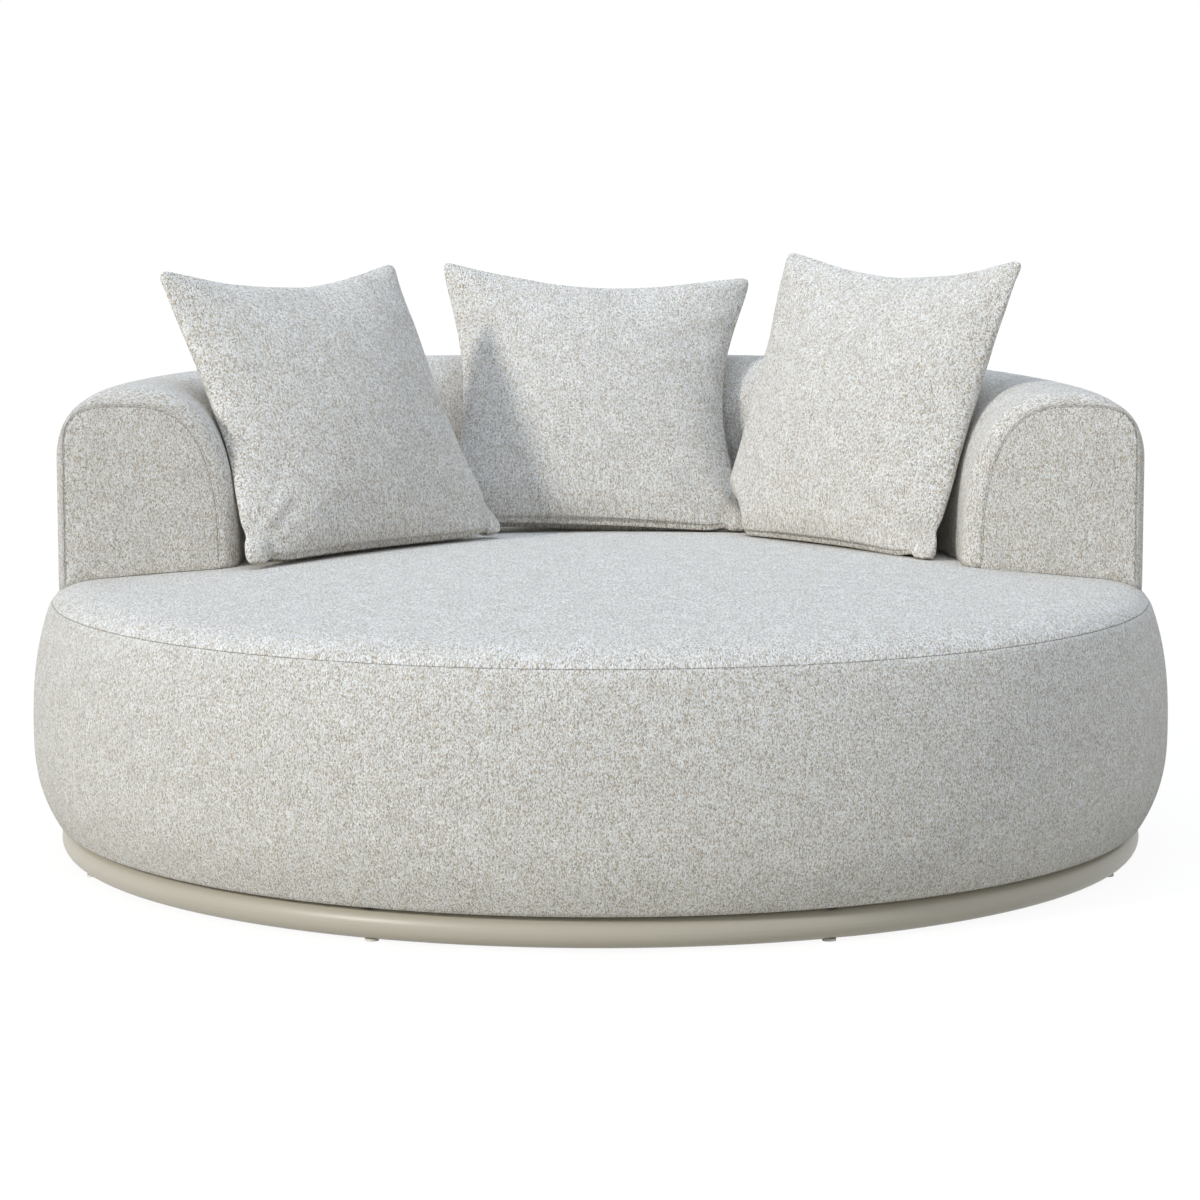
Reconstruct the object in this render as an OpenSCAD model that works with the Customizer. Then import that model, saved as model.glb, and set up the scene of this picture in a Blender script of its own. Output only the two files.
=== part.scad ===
// Round outdoor daybed: ring base, framed drum seat, horseshoe backrest and three pillows.
// Lengths are in millimetres. The front faces -Y, +X is to the right and the floor is z = 0.

/* [Base] */
// Diameter of the base ring's tube
ring_tube_d = 44; // [38:1:52]
// Wall of the base ring's tube
ring_wall = 2.5; // [2:0.5:4]
// How far the ring sits inside the seat's lower edge
ring_setback = 2.5; // [0:0.5:20]
// Height of the nylon glides below the ring
glide_h = 3; // [3:0.5:8]
// Diameter of the glides
glide_d = 20; // [16:1:36]
// Number of glides
glide_count = 8; // [6:1:12]
// Width of the cross beams
beam_w = 50; // [40:1:60]
// Height of the cross beams
beam_h = 30; // [24:1:34]
// Wall of the cross beams
beam_wall = 2.5; // [2:0.5:4]
// Shadow gap that the spacer pads keep above the ring
pad_h = 6; // [4:0.5:10]
// Radius of the spacer pads
pad_r = 12; // [8:1:14]
// Thread diameter of the bolts between base and seat
base_bolt_d = 8; // [6:1:10]

/* [Seat] */
// Radius of the drum at its widest
drum_r = 899.5; // [840:0.5:960]
// Height of the seat's crown above the floor
seat_h = 462; // [440:1:500]
// Fall of the crown from the centre to the drum's radius
crown_fall = 45; // [30:1:60]
// Height of the widest line above the drum's lower edge
waist_h = 152; // [120:1:180]
// How far the side draws in at the lower edge
tuck_low = 39; // [30:1:48]
// How far the side draws in at the shoulder
tuck_high = 26; // [18:1:34]
// Drop from the crown to the top of the side
shoulder_drop = 77; // [68:1:86]
// Width of the rounded shoulder
shoulder_w = 109; // [90:1:130]
// Thickness of the woven cover
cover_t = 2.5; // [1.5:0.5:4]
// Thickness of the seat foam at the centre
foam_t = 94; // [80:1:110]
// Thickness of the side foam at the lower edge
skirt_foam_t = 9; // [6:1:14]

/* [Frame] */
// Width of the seat frame's tube
hoop_w = 40; // [34:1:46]
// Height of the seat frame's tube
hoop_h = 30; // [24:1:36]
// Wall of the frame tubes
hoop_wall = 2.5; // [2:0.5:4]
// Width of the posts between the hoops
post_w = 30; // [20:1:34]
// Number of posts between the hoops
post_count = 12; // [8:1:16]
// Width of the webbing straps
strap_w = 60; // [40:1:70]
// Thickness of the webbing straps
strap_t = 2.5; // [1.5:0.5:4]
// Distance from strap to strap
strap_pitch = 170; // [160:1:185]
// Diameter of the drain holes in the frame tubes
drain_d = 8; // [5:1:10]

/* [Backrest] */
// How far the backrest's outer face sits inside the drum's widest line
back_setback = 39.5; // [34:0.5:59]
// Depth of the backrest from inner to outer face at the seat
back_depth = 286; // [250:1:300]
// Height of the backrest's crest above the seat's crown
back_rise = 271; // [220:1:320]
// Distance from the crest line to the outer face
crest_w = 112; // [95:1:125]
// Height of the crest's rounding on the outer side
outer_round_h = 118; // [90:1:150]
// Angle from the X axis to each arm's end, past the middle
arm_angle = 3; // [0:0.5:8]
// Depth of the rounding at each arm's end
arm_round = 30; // [20:1:36]
// Inset of the end panel's seam on the inner side
seam_in = 30; // [20:1:40]
// Inset of the end panel's seam on the outer side
seam_out = 13; // [8:1:24]
// Inset of the end panel's seam at the crest
seam_top = 38; // [28:1:48]
// Diameter of the backrest's uprights
upright_d = 25; // [20:1:30]
// Distance from the backrest's outer face to the uprights' middle
upright_inset = 40; // [34:1:46]
// Height and width of the backrest's rails
rail_w = 30; // [24:1:34]
// Height of the sockets on the seat frame
socket_h = 40; // [30:1:46]

/* [Pillows] */
// Width and height of the square pillows
pillow_w = 510; // [480:1:530]
// Thickness of the pillows at the middle
pillow_t = 160; // [120:1:180]
// How far each edge bows in between the corners
edge_bow = 26; // [18:1:34]
// Thickness of the pillow covers
pillow_cover_t = 1.5; // [1:0.5:2.5]
// Length of the zip in each pillow's lower seam
zip_len = 300; // [240:10:340]
// Turn of the left pillow towards the middle
left_yaw = 43; // [40:0.5:46]
// Lean of the left pillow
left_lean = 29; // [26:0.5:32]
// Roll of the left pillow in its own plane
left_roll = 0.5; // [-2:0.5:2]
// How much further than a pillow's width the left pillow's middle lies from the middle pillow's
left_apart = 42.6; // [40:0.2:60]
// Turn of the middle pillow
middle_yaw = 6; // [4:0.5:8]
// Lean of the middle pillow
middle_lean = 34; // [31:0.5:37]
// Roll of the middle pillow in its own plane
middle_roll = -3; // [-5:0.5:-1]
// Sideways place of the middle pillow on its own line
middle_side = 42; // [32:1:52]
// Turn of the right pillow towards the middle
right_yaw = -47; // [-50:0.5:-44]
// Lean of the right pillow
right_lean = 24; // [21:0.5:27]
// Roll of the right pillow in its own plane
right_roll = -0.5; // [-2:0.5:2]
// The same for the right pillow, which overlaps the middle one when seen along its line
right_apart = -10.9; // [-12:0.1:10]

/* [Hidden] */

// Clearance between soft pieces and their neighbours
gap = 0.3;
// Clearance round a bolt or a post in its hole
hole_gap = 0.1;
// Overshoot of a cut past the face that it leaves
cut = 1;
$fn = 96;

fabric = [0.82, 0.79, 0.73];
fabric_side = [0.79, 0.76, 0.69];
foam = [0.93, 0.91, 0.85];
paint = [0.72, 0.70, 0.63];
metal = [0.75, 0.76, 0.78];
nylon = [0.25, 0.25, 0.26];
web = [0.35, 0.34, 0.33];

// Levels of the base
ring_z = glide_h + ring_tube_d / 2;
ring_top = ring_z + ring_tube_d / 2;
frame_z = ring_top + pad_h;
skirt_z = frame_z - cover_t;
beam_z = ring_z - beam_h / 2;

// Plan of the base, the seat frame and the backrest, worked inwards from the drum's lower edge
skirt_r = drum_r - tuck_low;
ring_r = skirt_r - ring_setback - ring_tube_d / 2;
hoop_out_r = skirt_r - cover_t - gap - skirt_foam_t;
hoop_in_r = hoop_out_r - hoop_w;
hoop_r = (hoop_out_r + hoop_in_r) / 2;
pad_ring_r = hoop_out_r - pad_r;
back_r = drum_r - back_setback;

// Glides push into holes in the ring
stem_r = 4;
stem_len = 9;

// Bolts, sleeves and rivet nuts between the beams and the seat frame
bolt_r = base_bolt_d / 2;
bolt_head_r = base_bolt_d * 0.85;
bolt_head_h = 5;
bolt_end_gap = 4;
sleeve_wall = 7;
sleeve_r = bolt_r + sleeve_wall;
nut_wall = 1.5;
nut_r = bolt_r + nut_wall;
nut_lip = 2;
nut_flange_r = nut_r + nut_lip;
nut_flange_h = 1;
nut_len = 16;
dust_t = 1.5;
dust_gap = 1;
bolt_spots = [
    for (a = [0 : 90 : 270], d = [0.3, 0.85]) [hoop_in_r * d * cos(a), hoop_in_r * d * sin(a)]
];

// Levels of the seat
waist_z = skirt_z + waist_h;
side_top_z = seat_h - shoulder_drop;
deck_z = seat_h - cover_t - gap - foam_t - 2 * strap_t;
hoop_top_z = deck_z - hoop_h;
foam_z = deck_z + 2 * strap_t;

// Webbing runs in rows that meet the hoop's top
strap_end_r = hoop_in_r + hoop_w / 2;
screw_r = 2.5;
screw_head_r = 6;
screw_head_h = 1.8;
screw_len = 12;
screw_ring_r = hoop_in_r + hoop_w / 4;
relief_margin = 4;
relief_r = screw_head_r + relief_margin;
relief_h = 4;
strap_rows = floor((screw_ring_r - strap_w / 2) / strap_pitch);
strap_places = [for (i = [-strap_rows : strap_rows]) i * strap_pitch];

// Outline of the drum from its lower edge to the middle of the crown
side_steps = 12;
shoulder_steps = 12;
dome_steps = 8;
seam_step = 2;
low_power = 2.6;
high_power = 2.5;
dome_r = drum_r - shoulder_w;
function dome_z(r) = seat_h - crown_fall * pow(r / drum_r, 2);
function side_r(z) = z < waist_z
    ? drum_r - tuck_low * pow((waist_z - z) / waist_h, low_power)
    : drum_r - tuck_high * pow((z - waist_z) / (side_top_z - waist_z), high_power);
function bezier(a, b, c, t) = pow(1 - t, 2) * a + 2 * t * (1 - t) * b + t * t * c;

shoulder_a = [side_r(side_top_z), side_top_z];
shoulder_c = [dome_r, dome_z(dome_r)];
// The middle control point is where the side's and the dome's tangents cross
side_slope = high_power * tuck_high / (side_top_z - waist_z);
dome_slope = -2 * crown_fall * dome_r / (drum_r * drum_r);
shoulder_lift = (shoulder_c[1] - shoulder_a[1] + dome_slope * (shoulder_a[0] - shoulder_c[0]))
    / (1 + dome_slope * side_slope);
shoulder_b = [shoulder_a[0] - side_slope * shoulder_lift, shoulder_a[1] + shoulder_lift];

drum_path = concat(
    [for (i = [0 : side_steps - 1])
        let (z = skirt_z + (side_top_z - skirt_z) * i / side_steps) [side_r(z), z]],
    [for (i = [0 : shoulder_steps]) bezier(shoulder_a, shoulder_b, shoulder_c, i / shoulder_steps)],
    [for (i = [1 : dome_steps]) let (r = dome_r * (1 - i / dome_steps)) [r, dome_z(r)]]
);
seam_at = side_steps + seam_step;
// The side cover's hem turns in under the foam, short of both its edges
hem_inset = 1;

// A path moved by d to its left, which is the inside of these outlines
function inset_path(p, d) = [
    for (i = [0 : len(p) - 1])
        let (a = p[max(i - 1, 0)], b = p[min(i + 1, len(p) - 1)], t = (b - a) / norm(b - a))
            p[i] + d * [-t[1], t[0]]
];
function slice(p, i, j) = [for (k = [i : j]) p[k]];
function reverse(p) = [for (k = [len(p) - 1 : -1 : 0]) p[k]];
// The same for the drum, whose last point stays on the axis
function drum_inset(d) = let (p = inset_path(drum_path, d), n = len(p) - 1)
    concat(slice(p, 0, n - 1), [[0, drum_path[n][1] - d]]);

// Height of the seat's surface at a radius, by steps along its outline
function path_z(p, r, i = 0) = i >= len(p) - 1 ? p[len(p) - 1][1]
    : (p[i][0] >= r && p[i + 1][0] <= r && p[i][0] > p[i + 1][0])
        ? p[i][1] + (p[i + 1][1] - p[i][1]) * (p[i][0] - r) / (p[i][0] - p[i + 1][0])
        : path_z(p, r, i + 1);
top_path = slice(drum_path, side_steps, len(drum_path) - 1);
function seat_z(r) = r >= top_path[0][0] ? top_path[0][1] : path_z(top_path, r);

// Section of the backrest: an inner and an outer rounding that meet at the crest
crest_z = seat_h + back_rise;
crest_r = back_r - crest_w;
inner_round_drop = 32;
inner_round_h = back_rise + inner_round_drop;
arch_steps = 14;
inner_power = 2.8;
outer_power = 2.1;
seam_power = 3.6;
function arch_inner_r(z, a, top) = let (t = max(0, (z - (crest_z - inner_round_h)) / (top - crest_z + inner_round_h)))
    crest_r - a * pow(max(0, 1 - pow(min(t, 1), inner_power)), 1 / inner_power);
// Outline with insets on its three sides; its foot follows the seat with a clearance
function arch_path(i_in, i_out, i_top, power = outer_power) = let (
    a = back_depth - crest_w - i_in,
    c = crest_w - i_out,
    top = crest_z - i_top,
    low_in = crest_z - inner_round_h,
    low_out = crest_z - outer_round_h,
    foot_in = seat_z(crest_r - a) + gap,
    foot_out = seat_z(crest_r + c) + gap
) concat(
    [[crest_r - a, foot_in]],
    [for (i = [1 : arch_steps]) let (q = 90 * i / arch_steps)
        [crest_r - a * pow(cos(q), 2 / inner_power), low_in + (top - low_in) * pow(sin(q), 2 / inner_power)]],
    [for (i = [1 : arch_steps]) let (q = 90 * i / arch_steps)
        [crest_r + c * pow(sin(q), 2 / power), low_out + (top - low_out) * pow(cos(q), 2 / power)]],
    [[crest_r + c, foot_out]],
    [for (p = top_path) if (p[0] < crest_r + c - 1 && p[0] > crest_r - a + 1) [p[0], p[1] + gap]]
);
// Opening of the cover below, so that the cover is a skin on three sides
function arch_core(d) = arch_path(d, d, d);

// Backrest frame inside the foam
upright_r = back_r - upright_inset;
upright_angles = [6, 29, 61, 84, 96, 119, 151, 174];
rail_low_gap = 6;
rail_low_z = seat_z(upright_r - rail_w / 2) + rail_low_gap;
rail_top_rise = 5;
rail_top_z = crest_z - outer_round_h + rail_top_rise;
rail_angle = 4;
socket_wall = 4;
socket_floor = 2;
socket_r = upright_d / 2 + socket_wall;
upright_z = deck_z + socket_floor;
back_bolt_r = 3;
back_bolt_head_r = 5.4;
back_bolt_head_h = 4;
back_bolt_end = 4;
back_bolt_len = 2 * (socket_r + back_bolt_end);
back_bolt_z = deck_z + socket_h / 2;

// Square pillow with knife edges and pointed corners
pillow_steps = 12;
pillow_power = 0.62;
seam_allowance = 14;
function pillow_point(u, v, side, w, t) = [
    w / 2 * u - edge_bow * u * (1 - v * v),
    w / 2 * v - edge_bow * v * (1 - u * u),
    side * t / 2 * pow(max(0, (1 - u * u) * (1 - v * v)), pillow_power)
];
function knot(i, n) = sin(-90 + 180 * i / n);
function pillow_grid(side, w, t, n) = [
    for (j = [0 : n], i = [0 : n]) pillow_point(knot(i, n), knot(j, n), side, w, t)
];

// Turn of a pillow: roll in its plane, stood up, leaned back and yawed
function stand(p, lean, roll) = let (
    x = p[0] * cos(roll) - p[1] * sin(roll),
    y = -p[2],
    z = p[0] * sin(roll) + p[1] * cos(roll)
) [x, y * cos(lean) + z * sin(lean), z * cos(lean) - y * sin(lean)];
// How high it rests on the seat, and how far back it goes before it meets the backrest
rest_steps = 30;
rest_low_share = 0.25;
rest_start_share = 0.3;
function rest_points(lean, roll) = [
    for (s = [-1, 1], p = pillow_grid(s, pillow_w, pillow_t, rest_steps)) stand(p, lean, roll)
];
function rest_z(pts, side, back) = max([
    for (p = pts) if (p[2] < -pillow_w * rest_low_share) seat_z(norm([side + p[0], back + p[1]])) - p[2]
]) + gap;
function rest_back(pts, side, z) = min([
    for (p = pts) if (p[2] + z < crest_z)
        let (r = arch_inner_r(p[2] + z, back_depth - crest_w, crest_z) - gap)
            sqrt(max(0, r * r - pow(side + p[0], 2))) - p[1]
]);
// Two rounds settle both, and give the pillow's centre in its own yawed frame
function rest_place(side, lean, roll) = let (
    pts = rest_points(lean, roll),
    back_a = back_r - back_depth - pillow_w * rest_start_share,
    z_a = rest_z(pts, side, back_a),
    back_b = rest_back(pts, side, z_a),
    z_b = rest_z(pts, side, back_b),
    back_c = rest_back(pts, side, z_b)
) [side, back_c, rest_z(pts, side, back_c)];
middle_place = rest_place(middle_side, middle_lean, middle_roll);
// The outer pillows take their sideways places from the middle pillow's middle
function beside(yaw) = let (turn = yaw - middle_yaw) middle_place[0] * cos(turn) + middle_place[1] * sin(turn);
left_side = beside(left_yaw) - pillow_w - left_apart;
left_place = rest_place(left_side, left_lean, left_roll);
right_side = beside(right_yaw) + pillow_w + right_apart;
right_place = rest_place(right_side, right_lean, right_roll);

// The zip follows the bowed lower edge as an arc about a point far below it
zip_r = (pow(pillow_w / 2, 2) + pow(edge_bow, 2)) / (2 * edge_bow);
zip_centre_y = -(pillow_w / 2 - edge_bow) - zip_r;
zip_half_angle = asin(zip_len / 2 / zip_r);
tape_t = 1.2;
tape_w = 4;
chain_t = 2.6;
chain_w = 3;
slider_len = 11;
slider_wall = 1.2;
slider_angle = asin((zip_len / 2 - slider_len) / zip_r);
tab_len = 15;
tab_t = 1.2;
channel_angle = 2;

// Faces of two grids that bulge apart; shared says whether they share their rim points
// Each square is split along the diagonal that runs towards the grid's middle
function square_faces(j, i, n, at) = let (
    a = at(j, i), b = at(j, i + 1), c = at(j + 1, i + 1), d = at(j + 1, i)
) ((i < n / 2) == (j < n / 2)) ? [[a, d, c], [a, c, b]] : [[a, d, b], [d, c, b]];
function grid_faces(n, shared) = let (
    m = n + 1,
    near = function(j, i) j * m + i,
    far = function(j, i) j * m + i + ((shared && (i == 0 || j == 0 || i == n || j == n)) ? 0 : m * m)
) [
    for (j = [0 : n - 1], i = [0 : n - 1])
        for (f = square_faces(j, i, n, near)) f,
    for (j = [0 : n - 1], i = [0 : n - 1])
        for (f = square_faces(j, i, n, far)) [f[0], f[2], f[1]]
];

// Indices once round a grid's rim, and the flat band between two rims
function rim_loop(n) = let (m = n + 1) concat(
    [for (i = [0 : n - 1]) i],
    [for (j = [0 : n - 1]) j * m + n],
    [for (i = [n : -1 : 1]) n * m + i],
    [for (j = [n : -1 : 1]) j * m]
);
function band_faces(n) = let (loop = rim_loop(n), c = len(loop), k = (n + 1) * (n + 1)) concat(
    [for (q = [0 : c - 1]) let (a = loop[q], b = loop[(q + 1) % c]) [a, b, b + k]],
    [for (q = [0 : c - 1]) let (a = loop[q], b = loop[(q + 1) % c]) [a, b + k, a + k]]
);

module pillow_solid(margin, skin) {
    w = pillow_w - 2 * margin;
    t = pillow_t - 2 * skin;
    polyhedron(
        concat(pillow_grid(1, w, t, pillow_steps), pillow_grid(-1, w, t, pillow_steps)),
        grid_faces(pillow_steps, true)
    );
}

// One panel of a pillow cover: a bulging sheet with a flat seam allowance round it
module pillow_panel(side) {
    w = pillow_w - 2 * seam_allowance;
    t = pillow_t - 2 * pillow_cover_t;
    color(fabric)
        mirror([0, 0, side > 0 ? 0 : 1])
            polyhedron(
                concat(pillow_grid(1, pillow_w, pillow_t, pillow_steps), pillow_grid(1, w, t, pillow_steps)),
                concat(grid_faces(pillow_steps, false), band_faces(pillow_steps))
            );
}

module on_pillow(yaw, lean, roll, place) {
    rotate([0, 0, yaw])
        translate(place)
            rotate([-lean, 0, 0])
                rotate([90, 0, 0])
                    rotate([0, 0, roll])
                        children();
}

module left_pillow_frame() {
    on_pillow(left_yaw, left_lean, left_roll, left_place) children();
}

module middle_pillow_frame() {
    on_pillow(middle_yaw, middle_lean, middle_roll, middle_place) children();
}

module right_pillow_frame() {
    on_pillow(right_yaw, right_lean, right_roll, right_place) children();
}

module pillow_fill() {
    color(foam) pillow_solid(seam_allowance + gap, pillow_cover_t + gap);
}

module zip_arc(r_low, r_high, t, half_angle) {
    translate([0, zip_centre_y, 0])
        rotate([0, 0, 90 - half_angle])
            rotate_extrude(angle = 2 * half_angle, $fn = 360)
                translate([r_low, -t / 2])
                    square([r_high - r_low, t]);
}

module pillow_zip() {
    color(web) {
        zip_arc(zip_r - gap - tape_w, zip_r - gap, tape_t, zip_half_angle);
        zip_arc(zip_r - gap - tape_w - chain_w, zip_r - gap - tape_w, chain_t, zip_half_angle);
    }
}

// The slider is a channel round the chain, closed below, with a flat pull tab
module pillow_slider() {
    outer_t = chain_t + 2 * (slider_wall + gap);
    chain_top = zip_r - gap - tape_w + gap;
    chain_low = chain_top - chain_w - 2 * gap;
    color(metal)
        translate([0, zip_centre_y, 0])
            rotate([0, 0, -slider_angle]) {
                difference() {
                    translate([-slider_len / 2, chain_low - slider_wall, -outer_t / 2])
                        cube([slider_len, chain_top - chain_low + 2 * slider_wall, outer_t]);
                    rotate([0, 0, 90 - channel_angle])
                        rotate_extrude(angle = 2 * channel_angle, $fn = 360)
                            translate([chain_low, -chain_t / 2 - gap])
                                square([chain_top - chain_low, chain_t + 2 * gap]);
                    rotate([0, 0, 90 - channel_angle])
                        rotate_extrude(angle = 2 * channel_angle, $fn = 360)
                            translate([chain_low, -tape_t / 2 - gap])
                                square([chain_top - chain_low + 2 * slider_wall + cut, tape_t + 2 * gap]);
                }
                translate([-tab_len - slider_len / 2, chain_low - slider_wall - gap, -tab_t / 2])
                    cube([tab_len + slider_wall, slider_wall, tab_t]);
            }
}

module torus(r, tube_r) {
    rotate_extrude()
        translate([r, 0])
            circle(tube_r, $fn = 48);
}

module spots(points) {
    for (p = points)
        translate([p[0], p[1], 0])
            children();
}

module around(count, r, start = 0) {
    for (i = [0 : count - 1])
        rotate([0, 0, start + 360 * i / count])
            translate([r, 0, 0])
                children();
}

module tube_box(size, wall) {
    difference() {
        cube(size, center = true);
        cube([size[0] + cut, size[1] - 2 * wall, size[2] - 2 * wall], center = true);
    }
}

module base_ring() {
    color(paint)
        difference() {
            translate([0, 0, ring_z]) torus(ring_r, ring_tube_d / 2);
            translate([0, 0, ring_z]) torus(ring_r, ring_tube_d / 2 - ring_wall);
            around(glide_count, ring_r, 180 / glide_count)
                cylinder(r = stem_r + hole_gap, h = ring_z);
        }
}

module glides() {
    color(nylon)
        around(glide_count, ring_r, 180 / glide_count) {
            cylinder(r = glide_d / 2, h = glide_h);
            translate([0, 0, glide_h]) cylinder(r = stem_r, h = stem_len);
        }
}

// A straight beam that ends on the ring, with a saddle cut to the tube
module ring_beam(from, to) {
    difference() {
        translate([(from + to) / 2, 0, ring_z]) tube_box([to - from, beam_w, beam_h], beam_wall);
        translate([0, 0, ring_z]) torus(ring_r, ring_tube_d / 2 + hole_gap);
        spots(bolt_spots) cylinder(r = bolt_r + hole_gap, h = ring_top);
    }
}

module cross_beam_long() {
    reach = ring_r - ring_tube_d / 4;
    color(paint) ring_beam(-reach, reach);
}

module cross_beams_short() {
    color(paint)
        for (a = [90, 270])
            rotate([0, 0, a]) ring_beam(beam_w / 2, ring_r - ring_tube_d / 4);
}

module spacer_pads() {
    color(nylon)
        around(glide_count, pad_ring_r, 180 / glide_count)
            translate([0, 0, ring_top]) cylinder(r = pad_r, h = pad_h);
}

module spacer_sleeves() {
    low = ring_z + beam_h / 2;
    color(nylon)
        spots(bolt_spots)
            translate([0, 0, low])
                difference() {
                    cylinder(r = sleeve_r, h = frame_z - nut_flange_h - low);
                    translate([0, 0, -cut]) cylinder(r = bolt_r + hole_gap, h = frame_z);
                }
}

module base_bolts() {
    color(metal)
        spots(bolt_spots) {
            translate([0, 0, beam_z - bolt_head_h]) cylinder(r = bolt_head_r, h = bolt_head_h, $fn = 6);
            translate([0, 0, beam_z]) cylinder(r = bolt_r, h = frame_z + nut_len - bolt_end_gap - beam_z);
        }
}

module rivet_nuts() {
    color(metal)
        spots(bolt_spots)
            difference() {
                union() {
                    translate([0, 0, frame_z - nut_flange_h]) cylinder(r = nut_flange_r, h = nut_flange_h);
                    translate([0, 0, frame_z]) cylinder(r = nut_r, h = nut_len);
                }
                translate([0, 0, frame_z - cut - nut_flange_h])
                    cylinder(r = bolt_r + hole_gap, h = nut_len + 2 * cut + nut_flange_h);
            }
}

// Rectangular tube bent to a hoop, with drain holes in its underside
module hoop(z) {
    difference() {
        rotate_extrude()
            translate([hoop_in_r, z])
                difference() {
                    square([hoop_w, hoop_h]);
                    translate([hoop_wall, hoop_wall])
                        square([hoop_w - 2 * hoop_wall, hoop_h - 2 * hoop_wall]);
                }
        around(post_count, hoop_in_r + drain_d, 180 / post_count)
            translate([0, 0, z - cut]) cylinder(r = drain_d / 2, h = hoop_wall + 2 * cut);
    }
}

module seat_lower_hoop() {
    color(metal) hoop(frame_z);
}

module seat_upper_hoop() {
    color(metal)
        difference() {
            hoop(hoop_top_z);
            webbing_holes(screw_r + hole_gap);
        }
}

// Beams that cross inside a hoop: one long, two half, cut back to the hoop's inner face
module hoop_cross(z) {
    intersection() {
        translate([0, 0, z + hoop_h / 2]) {
            tube_box([2 * hoop_in_r, beam_w, hoop_h], beam_wall);
            for (a = [90, 270])
                rotate([0, 0, a])
                    translate([beam_w / 4 + hoop_in_r / 2, 0, 0])
                        tube_box([hoop_in_r - beam_w / 2, beam_w, hoop_h], beam_wall);
        }
        translate([0, 0, z - cut]) cylinder(r = hoop_in_r - hole_gap, h = hoop_h + 2 * cut);
    }
}

module floor_beams() {
    color(metal)
        difference() {
            hoop_cross(frame_z);
            spots(bolt_spots)
                translate([0, 0, frame_z - cut]) cylinder(r = nut_r + hole_gap, h = beam_wall + 2 * cut);
        }
}

module deck_beams() {
    color(metal) hoop_cross(hoop_top_z);
}

module post(z, h) {
    translate([0, 0, z + h / 2])
        rotate([0, 90, 0])
            tube_box([h, post_w, post_w], hoop_wall);
}

module seat_posts() {
    color(metal)
        around(post_count, hoop_r) post(frame_z + hoop_h, hoop_top_z - frame_z - hoop_h);
}

module centre_post() {
    color(metal) post(frame_z + hoop_h, hoop_top_z - frame_z - hoop_h);
}

// Both ends of each strap, in the frame of the layer that runs along X
module strap_ends() {
    for (y = strap_places, s = [-1, 1])
        translate([s * sqrt(pow(screw_ring_r, 2) - y * y), y, 0])
            children();
}

module webbing_holes(r) {
    for (a = [0, 90])
        rotate([0, 0, a])
            strap_ends()
                translate([0, 0, deck_z - screw_len - cut]) cylinder(r = r, h = screw_len + foam_z, $fn = 24);
}

module socket_spots() {
    for (a = upright_angles)
        rotate([0, 0, a])
            translate([upright_r, 0, 0])
                children();
}

// One layer of straps, cut to the round of the frame
module strap_layer(z) {
    intersection() {
        for (y = strap_places)
            translate([-drum_r, y - strap_w / 2, z]) cube([2 * drum_r, strap_w, strap_t]);
        translate([0, 0, z - cut]) cylinder(r = strap_end_r, h = strap_t + 2 * cut);
    }
}

// What passes through the straps: their screws and the sockets of the backrest
module webbing_cuts() {
    webbing_holes(screw_r + hole_gap);
    socket_spots()
        translate([0, 0, deck_z - cut]) cylinder(r = socket_r + gap, h = 2 * (strap_t + cut));
}

module webbing_across() {
    color(web)
        difference() {
            strap_layer(deck_z);
            webbing_cuts();
        }
}

// The upper layer also clears the heads of the lower layer's screws
module webbing_along() {
    color(web)
        difference() {
            rotate([0, 0, 90]) strap_layer(deck_z + strap_t);
            webbing_cuts();
            strap_ends()
                translate([0, 0, deck_z]) cylinder(r = screw_head_r + gap, h = 2 * strap_t + cut, $fn = 24);
        }
}

module webbing_screw(z) {
    translate([0, 0, z]) cylinder(r = screw_head_r, h = screw_head_h, $fn = 24);
    translate([0, 0, deck_z - screw_len]) cylinder(r = screw_r, h = z - deck_z + screw_len, $fn = 24);
}

module webbing_screws() {
    color(metal) {
        strap_ends() webbing_screw(deck_z + strap_t);
        rotate([0, 0, 90]) strap_ends() webbing_screw(deck_z + 2 * strap_t);
    }
}

module dust_cover() {
    color(nylon)
        difference() {
            translate([0, 0, frame_z - dust_t]) cylinder(r = pad_ring_r - pad_r - dust_gap, h = dust_t);
            spots(bolt_spots)
                translate([0, 0, frame_z - dust_t - cut]) cylinder(r = sleeve_r + dust_gap, h = dust_t + 2 * cut);
        }
}

// Band between two inset outlines of the drum, from one step to another
module drum_skin(first, last) {
    rotate_extrude()
        polygon(concat(
            slice(drum_path, first, last),
            reverse(slice(drum_inset(cover_t), first, last))
        ));
}

module side_foam() {
    outer = [for (p = drum_inset(cover_t + gap)) if (p[1] > frame_z && p[1] < foam_z - cut) p];
    top_r = side_r(foam_z) - cover_t - 2 * gap;
    low_r = side_r(frame_z) - cover_t - 2 * gap;
    color(foam)
        rotate_extrude()
            polygon(concat(
                [[hoop_out_r + gap, frame_z], [low_r, frame_z]],
                outer,
                [[top_r, foam_z], [hoop_out_r + gap, foam_z]]
            ));
}

module seat_foam() {
    outer = [for (p = drum_inset(cover_t + gap)) if (p[1] > foam_z + cut) p];
    top_r = side_r(foam_z) - cover_t - 2 * gap;
    color(foam)
        difference() {
            rotate_extrude()
                polygon(concat(
                    [[0, foam_z], [screw_ring_r - relief_r, foam_z],
                     [screw_ring_r - relief_r, foam_z + relief_h],
                     [screw_ring_r + relief_r, foam_z + relief_h],
                     [screw_ring_r + relief_r, foam_z], [top_r, foam_z]],
                    outer
                ));
            socket_spots()
                translate([0, 0, deck_z]) cylinder(r = socket_r + gap, h = socket_h + gap);
            socket_spots()
                translate([0, 0, deck_z]) cylinder(r = upright_d / 2 + gap, h = seat_h);
            back_bolt_places(gap);
        }
}

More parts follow.
